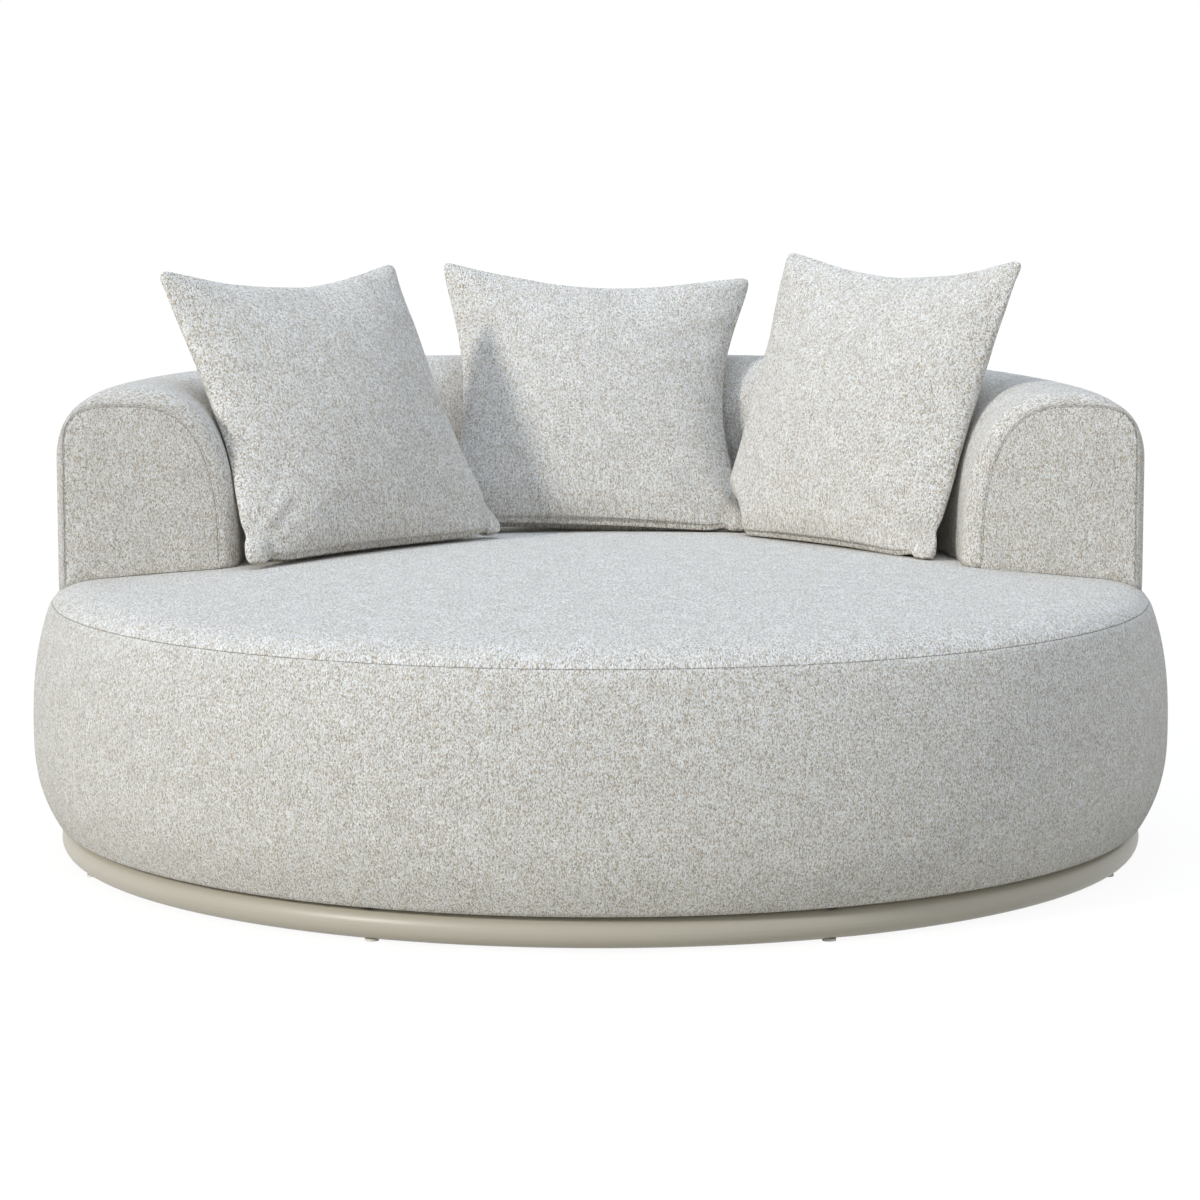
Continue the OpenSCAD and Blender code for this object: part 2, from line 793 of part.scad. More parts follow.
module seat_side_cover() {
    lip_r = hoop_out_r + hem_inset;
    color(fabric_side) {
        drum_skin(0, seam_at);
        rotate_extrude()
            translate([lip_r, skirt_z])
                square([skirt_r - lip_r - hem_inset, cover_t]);
    }
}

module seat_top_cover() {
    color(fabric)
        difference() {
            drum_skin(seam_at, len(drum_path) - 1);
            socket_spots() cylinder(r = upright_d / 2 + gap, h = seat_h);
        }
}

module back_bolt_places(grow) {
    for (a = upright_angles)
        rotate([0, 0, a])
            translate([upright_r - back_bolt_len / 2 - grow, 0, back_bolt_z])
                rotate([0, 90, 0]) {
                    cylinder(r = back_bolt_r + grow, h = back_bolt_len + 2 * grow, $fn = 32);
                    cylinder(r = back_bolt_head_r + grow, h = back_bolt_head_h + 2 * grow, $fn = 32);
                }
}

module back_sockets() {
    color(metal)
        difference() {
            socket_spots()
                translate([0, 0, deck_z])
                    difference() {
                        cylinder(r = socket_r, h = socket_h);
                        translate([0, 0, upright_z - deck_z])
                            cylinder(r = upright_d / 2 + hole_gap, h = socket_h);
                    }
            back_bolt_places(hole_gap);
        }
}

module back_uprights() {
    color(metal)
        difference() {
            socket_spots()
                translate([0, 0, upright_z])
                    difference() {
                        cylinder(r = upright_d / 2, h = rail_top_z - upright_z);
                        translate([0, 0, -cut])
                            cylinder(r = upright_d / 2 - hoop_wall, h = rail_top_z - upright_z + 2 * cut);
                    }
            back_bolt_places(hole_gap);
        }
}

module back_bolts() {
    color(metal) back_bolt_places(0);
}

// A rail's solid, grown all round; its ends lie the rail angle past the arms' middles
module rail(z, grow) {
    grow_angle = atan(grow / upright_r);
    rotate([0, 0, rail_angle - grow_angle])
        rotate_extrude(angle = 180 - 2 * (rail_angle - grow_angle))
            translate([upright_r - rail_w / 2 - grow, z - grow])
                square([rail_w + 2 * grow, rail_w + 2 * grow]);
}

// The same as a tube, open at its ends
module rail_tube(z) {
    end_angle = rail_angle - atan(cut / upright_r);
    difference() {
        rail(z, 0);
        rotate([0, 0, end_angle])
            rotate_extrude(angle = 180 - 2 * end_angle)
                translate([upright_r - rail_w / 2 + hoop_wall, z + hoop_wall])
                    square([rail_w - 2 * hoop_wall, rail_w - 2 * hoop_wall]);
    }
}

module back_lower_rail() {
    color(metal)
        difference() {
            rail_tube(rail_low_z);
            socket_spots() cylinder(r = upright_d / 2 + hole_gap, h = crest_z);
        }
}

module back_upper_rail() {
    color(metal) rail_tube(rail_top_z);
}

// The horseshoe runs from one arm's end plane to the other
module sweep_back() {
    rotate([0, 0, -arm_angle])
        rotate_extrude(angle = 180 + 2 * arm_angle, $fn = 128)
            children();
}

module back_foam() {
    color(foam)
        difference() {
            sweep_back() polygon(arch_core(cover_t + gap));
            rail(rail_low_z, gap);
            rail(rail_top_z, gap);
            socket_spots() cylinder(r = upright_d / 2 + gap, h = rail_top_z);
        }
}

module back_cover() {
    outer = arch_path(0, 0, 0);
    inner = arch_core(cover_t);
    last = 2 * arch_steps + 1;
    color(fabric)
        sweep_back()
            polygon(concat(slice(outer, 0, last), reverse(slice(inner, 0, last))));
}

// Places a section drawn in radius and height at an arm's end, growing outwards past it
module at_arm_end(left) {
    mirror([left ? 1 : 0, 0, 0])
        rotate([0, 0, -arm_angle])
            rotate([90, 0, 0])
                children();
}

// Section of an arm's end, whose feet reach down into the seat
foot_drop = 5;
function arm_section(i_in, i_out, i_top, power) = let (
    path = arch_path(i_in, i_out, i_top, power),
    last = 2 * arch_steps + 1,
    drop = [0, -foot_drop]
) concat([path[0] + drop], slice(path, 1, last - 1), [path[last] + drop]);
// Rounded end: the section draws in along a quarter circle, and may start behind the end plane
round_angles = [0, 20, 40, 60, 75, 90];
slice_t = 0.01;
module arm_cap(skin, behind = 0) {
    depth = arm_round - skin;
    hull()
        for (q = round_angles) {
            s = 1 - cos(q);
            power = outer_power + (seam_power - outer_power) * s;
            translate([0, 0, q == 0 ? -behind : depth * sin(q)])
                linear_extrude(slice_t)
                    polygon(arm_section(seam_in * s + skin, seam_out * s + skin, seam_top * s + skin, power));
        }
}

module arm_pad(left) {
    color(foam)
        at_arm_end(left)
            difference() {
                arm_cap(cover_t + gap);
                arm_seat_cut();
            }
}

module arm_panel(left) {
    color(fabric)
        at_arm_end(left)
            difference() {
                arm_cap(0);
                arm_cap(cover_t, cut);
                arm_seat_cut();
            }
}

// The arm ends reach into the seat, so the seat is cut back out of them
module arm_seat_cut() {
    rotate([-90, 0, 0])
        rotate([0, 0, arm_angle])
            rotate_extrude()
                polygon(concat(
                    [[0, 0], [drum_r, 0]],
                    [for (p = top_path) [p[0], p[1] + gap]]
                ));
}

module arm_pad_left() {
    arm_pad(true);
}

module arm_pad_right() {
    arm_pad(false);
}

module arm_panel_left() {
    arm_panel(true);
}

module arm_panel_right() {
    arm_panel(false);
}

base_ring();
cross_beam_long();
cross_beams_short();
glides();
spacer_pads();
spacer_sleeves();
base_bolts();
rivet_nuts();
seat_lower_hoop();
floor_beams();
seat_posts();
centre_post();
seat_upper_hoop();
deck_beams();
webbing_across();
webbing_along();
webbing_screws();
dust_cover();
side_foam();
seat_foam();
seat_side_cover();
seat_top_cover();
back_sockets();
back_uprights();
back_lower_rail();
back_upper_rail();
back_bolts();
back_foam();
back_cover();
arm_pad_left();
arm_pad_right();
arm_panel_left();
arm_panel_right();
left_pillow_frame() pillow_panel(1);  // pillow_left_front
left_pillow_frame() pillow_panel(-1);  // pillow_left_back
left_pillow_frame() pillow_fill();  // pillow_left_fill
left_pillow_frame() pillow_zip();  // pillow_left_zip
left_pillow_frame() pillow_slider();  // pillow_left_slider
middle_pillow_frame() pillow_panel(1);  // pillow_middle_front
middle_pillow_frame() pillow_panel(-1);  // pillow_middle_back
middle_pillow_frame() pillow_fill();  // pillow_middle_fill
middle_pillow_frame() pillow_zip();  // pillow_middle_zip
middle_pillow_frame() pillow_slider();  // pillow_middle_slider
right_pillow_frame() pillow_panel(1);  // pillow_right_front
right_pillow_frame() pillow_panel(-1);  // pillow_right_back
right_pillow_frame() pillow_fill();  // pillow_right_fill
right_pillow_frame() pillow_zip();  // pillow_right_zip
right_pillow_frame() pillow_slider();  // pillow_right_slider
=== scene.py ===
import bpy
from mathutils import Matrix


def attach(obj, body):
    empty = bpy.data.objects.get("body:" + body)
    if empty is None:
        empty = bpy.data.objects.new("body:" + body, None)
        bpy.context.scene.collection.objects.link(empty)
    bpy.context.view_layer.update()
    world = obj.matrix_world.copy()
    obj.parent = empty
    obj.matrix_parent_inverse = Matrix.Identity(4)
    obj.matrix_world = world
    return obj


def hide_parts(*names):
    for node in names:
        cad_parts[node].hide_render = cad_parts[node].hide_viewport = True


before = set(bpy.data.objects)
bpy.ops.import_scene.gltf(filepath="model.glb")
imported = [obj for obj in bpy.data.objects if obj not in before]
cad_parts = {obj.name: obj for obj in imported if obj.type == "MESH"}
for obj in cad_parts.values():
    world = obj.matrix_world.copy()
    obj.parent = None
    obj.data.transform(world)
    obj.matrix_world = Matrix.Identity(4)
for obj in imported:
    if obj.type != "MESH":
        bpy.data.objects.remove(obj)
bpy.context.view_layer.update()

import math

import bpy
import numpy as np

# Round outdoor daybed: looped fabric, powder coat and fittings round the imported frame.
# Lengths are in metres, in the frame of the CAD model.

# ---------------------------------------------------------------- camera
CAMERA_PLACE = (0.0, -5.7146, 1.0914)
CAMERA_PITCH, LENS, SENSOR = 7.056, 108, 36
PICTURE_W = 1200
camera_data = bpy.data.cameras.new("camera")
camera_data.sensor_width = SENSOR
camera_data.lens = LENS
# Half a pixel to the side
camera_data.shift_x = -0.5 / PICTURE_W
camera = bpy.data.objects.new("camera", camera_data)
camera.location = CAMERA_PLACE
camera.rotation_euler = (math.radians(90 - CAMERA_PITCH), 0, 0)
bpy.context.scene.collection.objects.link(camera)
bpy.context.scene.camera = camera

# ---------------------------------------------------------------- outlines, as in the CAD
DRUM_R, SEAT_H, CROWN_FALL = 0.8995, 0.462, 0.045
SKIRT_Z, WAIST_Z, SIDE_TOP_Z = 0.0505, 0.2025, 0.385
TUCK_LOW, TUCK_HIGH, DOME_R = 0.039, 0.026, 0.7905
LOW_POWER, HIGH_POWER = 2.6, 2.5
SEAM_SHARE = 2 / 12
COVER_T = 0.0025
GAP = 0.0003
CREST_R, CREST_Z = 0.748, 0.733
INNER_A, INNER_LOW, INNER_POWER = 0.174, 0.430, 2.8
OUTER_C, OUTER_LOW, OUTER_POWER, SEAM_POWER = 0.112, 0.615, 2.1, 3.6
ARM_ANGLE = 3
ARM_ROUND, SEAM_IN, SEAM_OUT, SEAM_TOP = 0.030, 0.030, 0.013, 0.038
HEM_R = 0.812


def dome_z(r):
    return SEAT_H - CROWN_FALL * (r / DRUM_R) ** 2


def side_r(z):
    low = TUCK_LOW * np.clip((WAIST_Z - z) / (WAIST_Z - SKIRT_Z), 0, None) ** LOW_POWER
    high = TUCK_HIGH * np.clip((z - WAIST_Z) / (SIDE_TOP_Z - WAIST_Z), 0, None) ** HIGH_POWER
    return DRUM_R - low - high


def shoulder(t):
    """Points of the rounded shoulder between the side and the crown."""
    a = np.array([side_r(SIDE_TOP_Z), SIDE_TOP_Z])
    c = np.array([DOME_R, dome_z(DOME_R)])
    side_slope = HIGH_POWER * TUCK_HIGH / (SIDE_TOP_Z - WAIST_Z)
    dome_slope = -2 * CROWN_FALL * DOME_R / DRUM_R ** 2
    lift = (c[1] - a[1] + dome_slope * (a[0] - c[0])) / (1 + dome_slope * side_slope)
    b = a + lift * np.array([-side_slope, 1])
    t = np.asarray(t)[:, None]
    return (1 - t) ** 2 * a + 2 * t * (1 - t) * b + t * t * c


SHOULDER = shoulder(np.linspace(0, 1, 60))


def seat_z(r):
    """Height of the seat's surface at a radius."""
    r = np.asarray(r, float)
    edge = np.interp(r, SHOULDER[::-1, 0], SHOULDER[::-1, 1])
    return np.where(r < DOME_R, dome_z(r), edge)


def inner_r(z):
    """Radius of the backrest's inner face at a height."""
    t = np.clip((z - INNER_LOW) / (CREST_Z - INNER_LOW), 0, 1)
    return CREST_R - INNER_A * (1 - t ** INNER_POWER) ** (1 / INNER_POWER)


def smoothstep(x):
    return x * x * (3 - 2 * x)


def arc_lengths(points):
    """Distance along a line from its start to each of its points."""
    return np.concatenate([[0], np.cumsum(np.linalg.norm(np.diff(points, axis=0), axis=1))])


def resample(points, count=None, step=None):
    """Points at even steps along a line."""
    points = np.asarray(points, float)
    s = arc_lengths(points)
    if count is None:
        count = max(2, int(round(s[-1] / step)) + 1)
    at = np.linspace(0, s[-1], count)
    return np.stack([np.interp(at, s, points[:, k]) for k in range(points.shape[1])], 1)


def offset(points, distance):
    """A line moved to its left."""
    t = np.gradient(points, axis=0)
    t /= np.maximum(np.linalg.norm(t, axis=1), 1e-12)[:, None]
    return points + distance * np.stack([-t[:, 1], t[:, 0]], 1)


# ---------------------------------------------------------------- meshes
def mesh_object(name, verts, faces, uvs=None, seam=None):
    """uvs holds one (u, v) per face corner, in metres of cloth; seam one distance per vertex."""
    mesh = bpy.data.meshes.new(name)
    mesh.from_pydata(np.asarray(verts, float).tolist(), [], [list(map(int, f)) for f in faces])
    mesh.polygons.foreach_set("use_smooth", [True] * len(mesh.polygons))
    if uvs is not None:
        layer = mesh.uv_layers.new(name="weave")
        layer.data.foreach_set("uv", np.asarray(uvs, np.float32).ravel())
    if seam is not None:
        layer = mesh.attributes.new("seam", "FLOAT", "POINT")
        layer.data.foreach_set("value", np.asarray(seam, np.float32))
    mesh.validate()
    mesh.update()
    made = bpy.data.objects.new(name, mesh)
    bpy.context.scene.collection.objects.link(made)
    return made


def coordinates(obj):
    co = np.zeros(len(obj.data.vertices) * 3)
    obj.data.vertices.foreach_get("co", co)
    return co.reshape(-1, 3)


def set_coordinates(obj, co):
    obj.data.vertices.foreach_set("co", np.asarray(co, np.float32).ravel())
    obj.data.update()


WAVES = 7


def wander(p, size, seed):
    """Smooth unevenness between about -1 and 1, the same every run."""
    rng = np.random.default_rng(seed)
    total = np.zeros(len(p))
    for _ in range(WAVES):
        direction = rng.normal(size=3)
        direction /= np.linalg.norm(direction)
        wave = size * rng.uniform(0.7, 1.6)
        total += np.sin(p @ direction * 2 * math.pi / wave + rng.uniform(0, 2 * math.pi))
    return total / (WAVES / 2)


def tube_of(name, sections, u_steps, v_steps, seams, closed, skin):
    """Sweeps closed sections, each an outer line and back along an inner one.

    sections has the shape (rings, points, 3). closed joins the last ring to the first, and
    otherwise each end is closed between its outer and inner line, of skin points each.
    """
    rings, points = sections.shape[:2]
    verts = sections.reshape(-1, 3)
    faces, uvs = [], []
    for i in range(rings if closed else rings - 1):
        j = (i + 1) % rings
        for k in range(points):
            m = (k + 1) % points
            faces.append((i * points + k, j * points + k, j * points + m, i * points + m))
            v0, v1 = v_steps[k], v_steps[k + 1]
            uvs += [(u_steps[i], v0), (u_steps[i + 1], v0), (u_steps[i + 1], v1), (u_steps[i], v1)]
    if not closed:
        for i, turn in ((0, 1), (rings - 1, -1)):
            for k in range(skin - 1):
                start, end = i * points + k, (i + 1) * points - 1 - k
                faces.append([start, start + 1, end - 1, end][::turn])
                uvs += [(0, 0)] * 4
    return mesh_object(name, verts, faces, uvs, np.tile(seams, rings))


# A seam's lip: how far it rolls in, over what width, how deep its end goes and half its gap
LIP_DEPTH, LIP_WIDTH, LIP_DROP = 0.0011, 0.0045, 0.0055
LIP_GAP = 0.00025
LIP_SHARES = (1, 0.8, 0.6, 0.42, 0.28, 0.16, 0.07)
# Added to the distance from these seams, so that the painted shade along them stays narrow
FINE_SEAM = 0.0009
# What stands in for a distance where no seam is near
FAR = 1.0


def with_lip(points):
    """A line whose end rolls in to a seam, and each point's distance to that seam."""
    s = arc_lengths(points)
    left = s[-1] - s
    t = (points[-1] - points[-2]) / np.linalg.norm(points[-1] - points[-2])
    n = np.array([-t[1], t[0]])
    body = points[left > LIP_WIDTH]
    lip, away = [], []
    for share in LIP_SHARES:
        d = LIP_WIDTH * share
        at = np.array([np.interp(s[-1] - d, s, points[:, k]) for k in range(2)])
        lip.append(at + n * LIP_DEPTH * (1 - math.sqrt(1 - (1 - share) ** 2)))
        away.append(d)
    lip.append(points[-1] - t * LIP_GAP + n * LIP_DEPTH)
    lip.append(points[-1] - t * LIP_GAP + n * LIP_DROP)
    away += [0, 0]
    return np.vstack([body, lip]), FINE_SEAM + np.concatenate([left[left > LIP_WIDTH], away])


def skinned(outer, seams):
    """A closed section: the outer line and, back along it, the inside of the cloth."""
    inner = offset(outer, COVER_T)
    tail = len(outer) - 1
    inner[tail] = (outer[tail] + (inner[tail - 1] - outer[tail - 1]) * 0.2
                   + (outer[tail - 1] - outer[tail]) * 0.02)
    return np.vstack([outer, inner[::-1]]), np.concatenate([seams, np.full(len(inner), FAR)])


def loop_lengths(points):
    """Distances round a closed line, the last one back at its start."""
    s = arc_lengths(points)
    return np.append(s, s[-1] + np.linalg.norm(points[0] - points[-1]))


# The drum's two covers: segments round it, steps along their sections and uneven swell
SEGMENTS = 440
SIDE_STEP, TOP_STEP = 0.0075, 0.009
SIDE_SWELL, TOP_SWELL = 0.0011, 0.0009
# The rounding of the side's lower edge, and the radius at which its cloth is laid out
HEM_CORNER_R, SIDE_CLOTH_R = 0.0045, 0.88


def lathe_sections(section):
    """The section at each angle round the drum, starting at the back."""
    angles = np.linspace(0, 2 * math.pi, SEGMENTS, endpoint=False) + math.pi / 2
    c, s = np.cos(angles)[:, None], np.sin(angles)[:, None]
    r, z = section[:, 0][None], section[:, 1][None]
    return np.stack([r * c, r * s, z + 0 * c], 2)


def make_side():
    """A hem under the foam, the side and its half of the shoulder seam."""
    heights = np.linspace(SKIRT_Z, SIDE_TOP_Z, 160)
    side = np.stack([side_r(heights), heights], 1)
    side = np.vstack([side[:-1], shoulder(np.linspace(0, SEAM_SHARE, 12))])
    corner = side_r(SKIRT_Z)
    bend = np.array([(corner - HEM_CORNER_R + HEM_CORNER_R * math.sin(q),
                      SKIRT_Z + HEM_CORNER_R - HEM_CORNER_R * math.cos(q))
                     for q in np.linspace(0, math.pi / 2, 6)])
    bend[-1, 0] = float(side_r(SKIRT_Z + HEM_CORNER_R))
    hem = np.stack([np.linspace(HEM_R, corner - HEM_CORNER_R - 0.004, 5), np.full(5, SKIRT_Z)], 1)
    upper = resample(side[side[:, 1] > SKIRT_Z + HEM_CORNER_R + 0.001], step=SIDE_STEP)
    outer, away = with_lip(np.vstack([hem, bend, upper]))
    section, seams = skinned(outer, away)
    u = np.linspace(0, 2 * math.pi * SIDE_CLOTH_R, SEGMENTS + 1)
    made = tube_of("seat_side_fabric", lathe_sections(section), u, loop_lengths(section), seams,
                   True, len(outer))
    co = coordinates(made)
    r = np.hypot(co[:, 0], co[:, 1])
    # The cloth swells unevenly between the lower edge and the shoulder
    between = np.clip((co[:, 2] - 0.07) / 0.08, 0, 1) * np.clip((0.39 - co[:, 2]) / 0.05, 0, 1)
    swell = SIDE_SWELL * wander(co, 0.42, 3) * between
    co[:, :2] *= (1 + swell / r)[:, None]
    set_coordinates(made, co)
    return made


def disc_of(name, outer, seams):
    """Lathes an outer line that starts on the axis, with an inner one below it."""
    inner = outer.copy()
    inner[:, 1] -= COVER_T
    inner[-1] = outer[-1]
    angles = np.linspace(0, 2 * math.pi, SEGMENTS, endpoint=False)
    rows = np.vstack([outer[1:], inner[-2:0:-1]])
    c, s = np.cos(angles)[None], np.sin(angles)[None]
    r, z = rows[:, 0][:, None], rows[:, 1][:, None]
    grid = np.stack([r * c, r * s, z + 0 * c], 2)
    verts = np.vstack([[[0, 0, outer[0, 1]]], grid.reshape(-1, 3), [[0, 0, inner[0, 1]]]])
    faces = [(0, 1 + k, 1 + (k + 1) % SEGMENTS) for k in range(SEGMENTS)]
    for i in range(len(rows) - 1):
        a, b = 1 + i * SEGMENTS, 1 + (i + 1) * SEGMENTS
        for k in range(SEGMENTS):
            m = (k + 1) % SEGMENTS
            faces.append((a + k, b + k, b + m, a + m))
    last = 1 + (len(rows) - 1) * SEGMENTS
    faces += [(last + k, len(verts) - 1, last + (k + 1) % SEGMENTS) for k in range(SEGMENTS)]
    uvs = [(verts[i][0], verts[i][1]) for f in faces for i in f]
    row_seam = np.concatenate([seams[1:], np.full(len(inner) - 2, FAR)])
    seam = np.concatenate([[FAR], np.repeat(row_seam, SEGMENTS), [FAR]])
    return mesh_object(name, verts, faces, uvs, seam)


def make_top():
    """The crown and the shoulder, down to the seam."""
    shoulder_part = shoulder(np.linspace(1, SEAM_SHARE, 60))
    dome_r = np.linspace(0, DOME_R, 120)[:-1]
    line = np.vstack([np.stack([dome_r, dome_z(dome_r)], 1), shoulder_part])
    line = resample(line, step=TOP_STEP)
    # The lip turns to a line's left, so the line is mirrored for it and back
    outer, away = with_lip(line * [1, -1])
    made = disc_of("seat_top_fabric", outer * [1, -1], away)
    co = coordinates(made)
    r = np.hypot(co[:, 0], co[:, 1])
    co[:, 2] += TOP_SWELL * wander(co, 0.5, 8) * np.clip((0.84 - r) / 0.1, 0, 1)
    set_coordinates(made, co)
    return made


# The backrest's section: its points, and the one whose path gives the cloth's length
ARCH_POINTS, LAYOUT_POINT = 74, 30
# The crest's height over the CAD's at the back, its fall under that at each arm's end, and
# the degrees over which it falls
BACK_RISE, LEFT_FALL, RIGHT_FALL, FALL_SWEEP = 0.0035, 0.006, 0.013, 62
# How far the arms' seams stand over the CAD's, and how far the feet roll in at the seat
SEAM_RISE, FOOT_ROLL = 0.005, 0.0008
# The rings over an arm's rounding, in degrees, and the cloth's uneven swell
ROUNDING_STEPS, BACK_SWELL = (88, 80, 70, 58, 46, 34, 22, 11), 0.0013


def arch(i_in, i_out, i_top, power=OUTER_POWER):
    """Section from the inner foot over the crest to the outer foot, as radius and height."""
    a, c, top = INNER_A - i_in, OUTER_C - i_out, CREST_Z - i_top
    q = np.radians(np.linspace(0, 90, 60))
    inner = np.stack([CREST_R - a * np.cos(q) ** (2 / INNER_POWER),
                      INNER_LOW + (top - INNER_LOW) * np.sin(q) ** (2 / INNER_POWER)], 1)
    outer = np.stack([CREST_R + c * np.sin(q) ** (2 / power),
                      OUTER_LOW + (top - OUTER_LOW) * np.cos(q) ** (2 / power)], 1)
    foot_in = float(seat_z(CREST_R - a)) + GAP
    foot_out = float(seat_z(CREST_R + c)) + GAP
    inner = inner[inner[:, 1] > foot_in + 0.002]
    line = np.vstack([[[CREST_R - a, foot_in]], inner, outer[1:], [[CREST_R + c, foot_out]]])
    return resample(line, count=ARCH_POINTS)


def tucked(line):
    """A section with its two feet rolled in a little where they meet the seat."""
    line = line.copy()
    for foot, step in ((0, 1), (-1, -1)):
        line[foot, 0] += step * FOOT_ROLL
    return line


def crest_rise(angle):
    """How the crest stands over or under its plain height: it falls towards the arms."""
    arm = LEFT_FALL if angle > 90 else RIGHT_FALL
    share = np.clip(1 - (min(angle, 180 - angle) + ARM_ANGLE) / FALL_SWEEP, 0, 1)
    return BACK_RISE - (BACK_RISE + arm) * smoothstep(share)


def placed(line, angle, depth):
    """A section at a sweep angle in degrees, moved past the end plane by depth."""
    c, s = math.cos(math.radians(angle)), math.sin(math.radians(angle))
    past = depth if angle < 90 else -depth
    r, z = line.T
    return np.stack([r * c + s * past, r * s - c * past, z], 1)


def make_back():
    """The horseshoe: its section swept from arm to arm and drawn in over each arm's rounding."""
    rings, distances = [], []
    # Each ring of an arm's rounding: its depth past the end plane and how far it is drawn in
    ends = [(ARM_ROUND - LIP_DROP, 1.0), (ARM_ROUND - LIP_DEPTH, 1.0), (ARM_ROUND - 0.0002, 0.975)]
    ends += [(ARM_ROUND * math.sin(q), 1 - math.cos(q)) for q in map(math.radians, ROUNDING_STEPS)]
    sweep = np.linspace(-ARM_ANGLE, 180 + ARM_ANGLE, 210)
    plan = [(-ARM_ANGLE, d, s) for d, s in ends] + [(a, 0.0, 0.0) for a in sweep]
    plan += [(180 + ARM_ANGLE, d, s) for d, s in ends[::-1]]
    for angle, depth, s in plan:
        fall = -crest_rise(angle)
        power = OUTER_POWER + (SEAM_POWER - OUTER_POWER) * s
        drop = fall + (SEAM_TOP - SEAM_RISE - fall) * s
        outer = tucked(arch(SEAM_IN * s, SEAM_OUT * s, drop, power))
        inner = offset(outer, -COVER_T)[::-1]
        rings.append(placed(np.vstack([outer, inner]), angle, depth))
        distances.append(0.0 if s >= 0.97 else FAR if s == 0 else 0.04 * (1 - s))
    rings = np.array(rings)
    u = arc_lengths(rings[:, LAYOUT_POINT])
    # The last ring's section gives the cloth's width
    v = loop_lengths(np.vstack([outer, inner]))
    made = tube_of("back_fabric", rings, u, v, np.full(rings.shape[1], FAR), False, ARCH_POINTS)
    seam = np.repeat(distances, rings.shape[1])
    made.data.attributes["seam"].data.foreach_set("value", seam.astype(np.float32))
    co = coordinates(made)
    high = np.clip((co[:, 2] - 0.47) / 0.06, 0, 1)
    r = np.hypot(co[:, 0], co[:, 1])
    away_from_ends = np.clip((co[:, 1] + 0.02) / 0.08, 0, 1)
    bulge = BACK_SWELL * wander(co, 0.45, 21) * high * away_from_ends
    outward = np.where(r > CREST_R, 1, -1) * np.clip(np.abs(r - CREST_R) / 0.05, 0, 1)
    co[:, :2] *= (1 + bulge * outward / r)[:, None]
    co[:, 2] += bulge * np.clip(1 - np.abs(r - CREST_R) / 0.05, 0, 1)
    set_coordinates(made, co)
    return made


# The middle that an end panel is drawn in to, as radius and height, its clearance from the
# backrest's lip, and how far its face crowns
PANEL_CENTRE, PANEL_GAP, PANEL_CROWN = (0.735, 0.575), 0.0005, 0.0045
# Each loop from the seam inwards: its size as a share of the rim, and its rise
PANEL_RIM = [(1.0, -LIP_DROP), (1.0, -LIP_DEPTH), (0.9985, -0.0006), (0.994, -0.0001),
             (0.985, 0.0003), (0.97, 0.0009)]
# Within this height above the seat the rim rolls in less and less
FOOT_FADE = 0.012


def make_panel(name, angle):
    """End panel of an arm: a loop drawn in to its middle, slightly crowned."""
    top = SEAM_TOP - SEAM_RISE + PANEL_GAP
    curve = arch(SEAM_IN + PANEL_GAP, SEAM_OUT + PANEL_GAP, top, SEAM_POWER)
    foot = np.stack([np.linspace(curve[-1, 0], curve[0, 0], 26)[1:-1]] * 2, 1)
    foot[:, 1] = seat_z(foot[:, 0]) + GAP
    loop = np.vstack([curve, foot])
    centre = np.array(PANEL_CENTRE)
    last_share, last_rise = PANEL_RIM[-1]
    shares = PANEL_RIM + [(f, last_rise + PANEL_CROWN * (1 - (f / last_share) ** 2))
                          for f in np.linspace(0.93, 0.06, 15)]
    count = len(loop)
    on_seat = np.clip((FOOT_FADE - loop[:, 1] + seat_z(loop[:, 0])) / FOOT_FADE, 0, 1)
    on_seat[len(curve):] = 1
    rows = []
    for f, rise in shares:
        line = centre + (loop - centre) * f
        lifted = rise if rise < -LIP_DEPTH else rise * (1 - on_seat) + max(rise, 0) * on_seat
        rows.append((line, ARM_ROUND + lifted))
    deepest = ARM_ROUND - LIP_DROP - 0.0005
    back = [(centre + (loop - centre) * f, min(ARM_ROUND + rise - COVER_T - 0.001, deepest))
            for f, rise in shares[:1:-4]]
    # From the middle of the face over the rim to the middle of the inside
    middle = centre[None]
    loops = [(middle, ARM_ROUND + shares[-1][1]), *rows[::-1], *back[::-1], (middle, deepest)]
    verts = np.vstack([placed(line, angle, depth) for line, depth in loops])
    flat = np.vstack([line for line, _ in loops])
    ring_count = len(loops) - 2
    faces = [(0, 1 + (k + 1) % count, 1 + k) for k in range(count)]
    for i in range(ring_count - 1):
        a, b = 1 + i * count, 1 + (i + 1) * count
        for k in range(count):
            m = (k + 1) % count
            faces.append((a + k, a + m, b + m, b + k))
    last = 1 + (ring_count - 1) * count
    faces += [(last + k, last + (k + 1) % count, len(verts) - 1) for k in range(count)]
    if angle > 90:
        faces = [f[::-1] for f in faces]
    uvs = [tuple(flat[i]) for f in faces for i in f]
    seam = np.full(len(verts), FAR)
    for i, (f, _) in enumerate(shares[::-1]):
        distance = (1 - f) * 0.10 if f > 0.95 else FAR
        seam[1 + i * count:1 + (i + 1) * count] = np.where(on_seat > 0.5, FAR, distance)
    return mesh_object(name, verts, faces, uvs, seam)


# ---------------------------------------------------------------- pillows
# Size over the seams, thickness, how fast it falls to the seams, and steps across
PILLOW_W, PILLOW_T, PILLOW_POWER, PILLOW_STEPS = 0.510, 0.160, 0.62, 64
# The share of the thickness before the cloth swells, half the rim's thickness, and how
# square the corners are
FIRST_SHARE, RIM_HALF, EAR_POWER = 0.95, 0.0025, 18
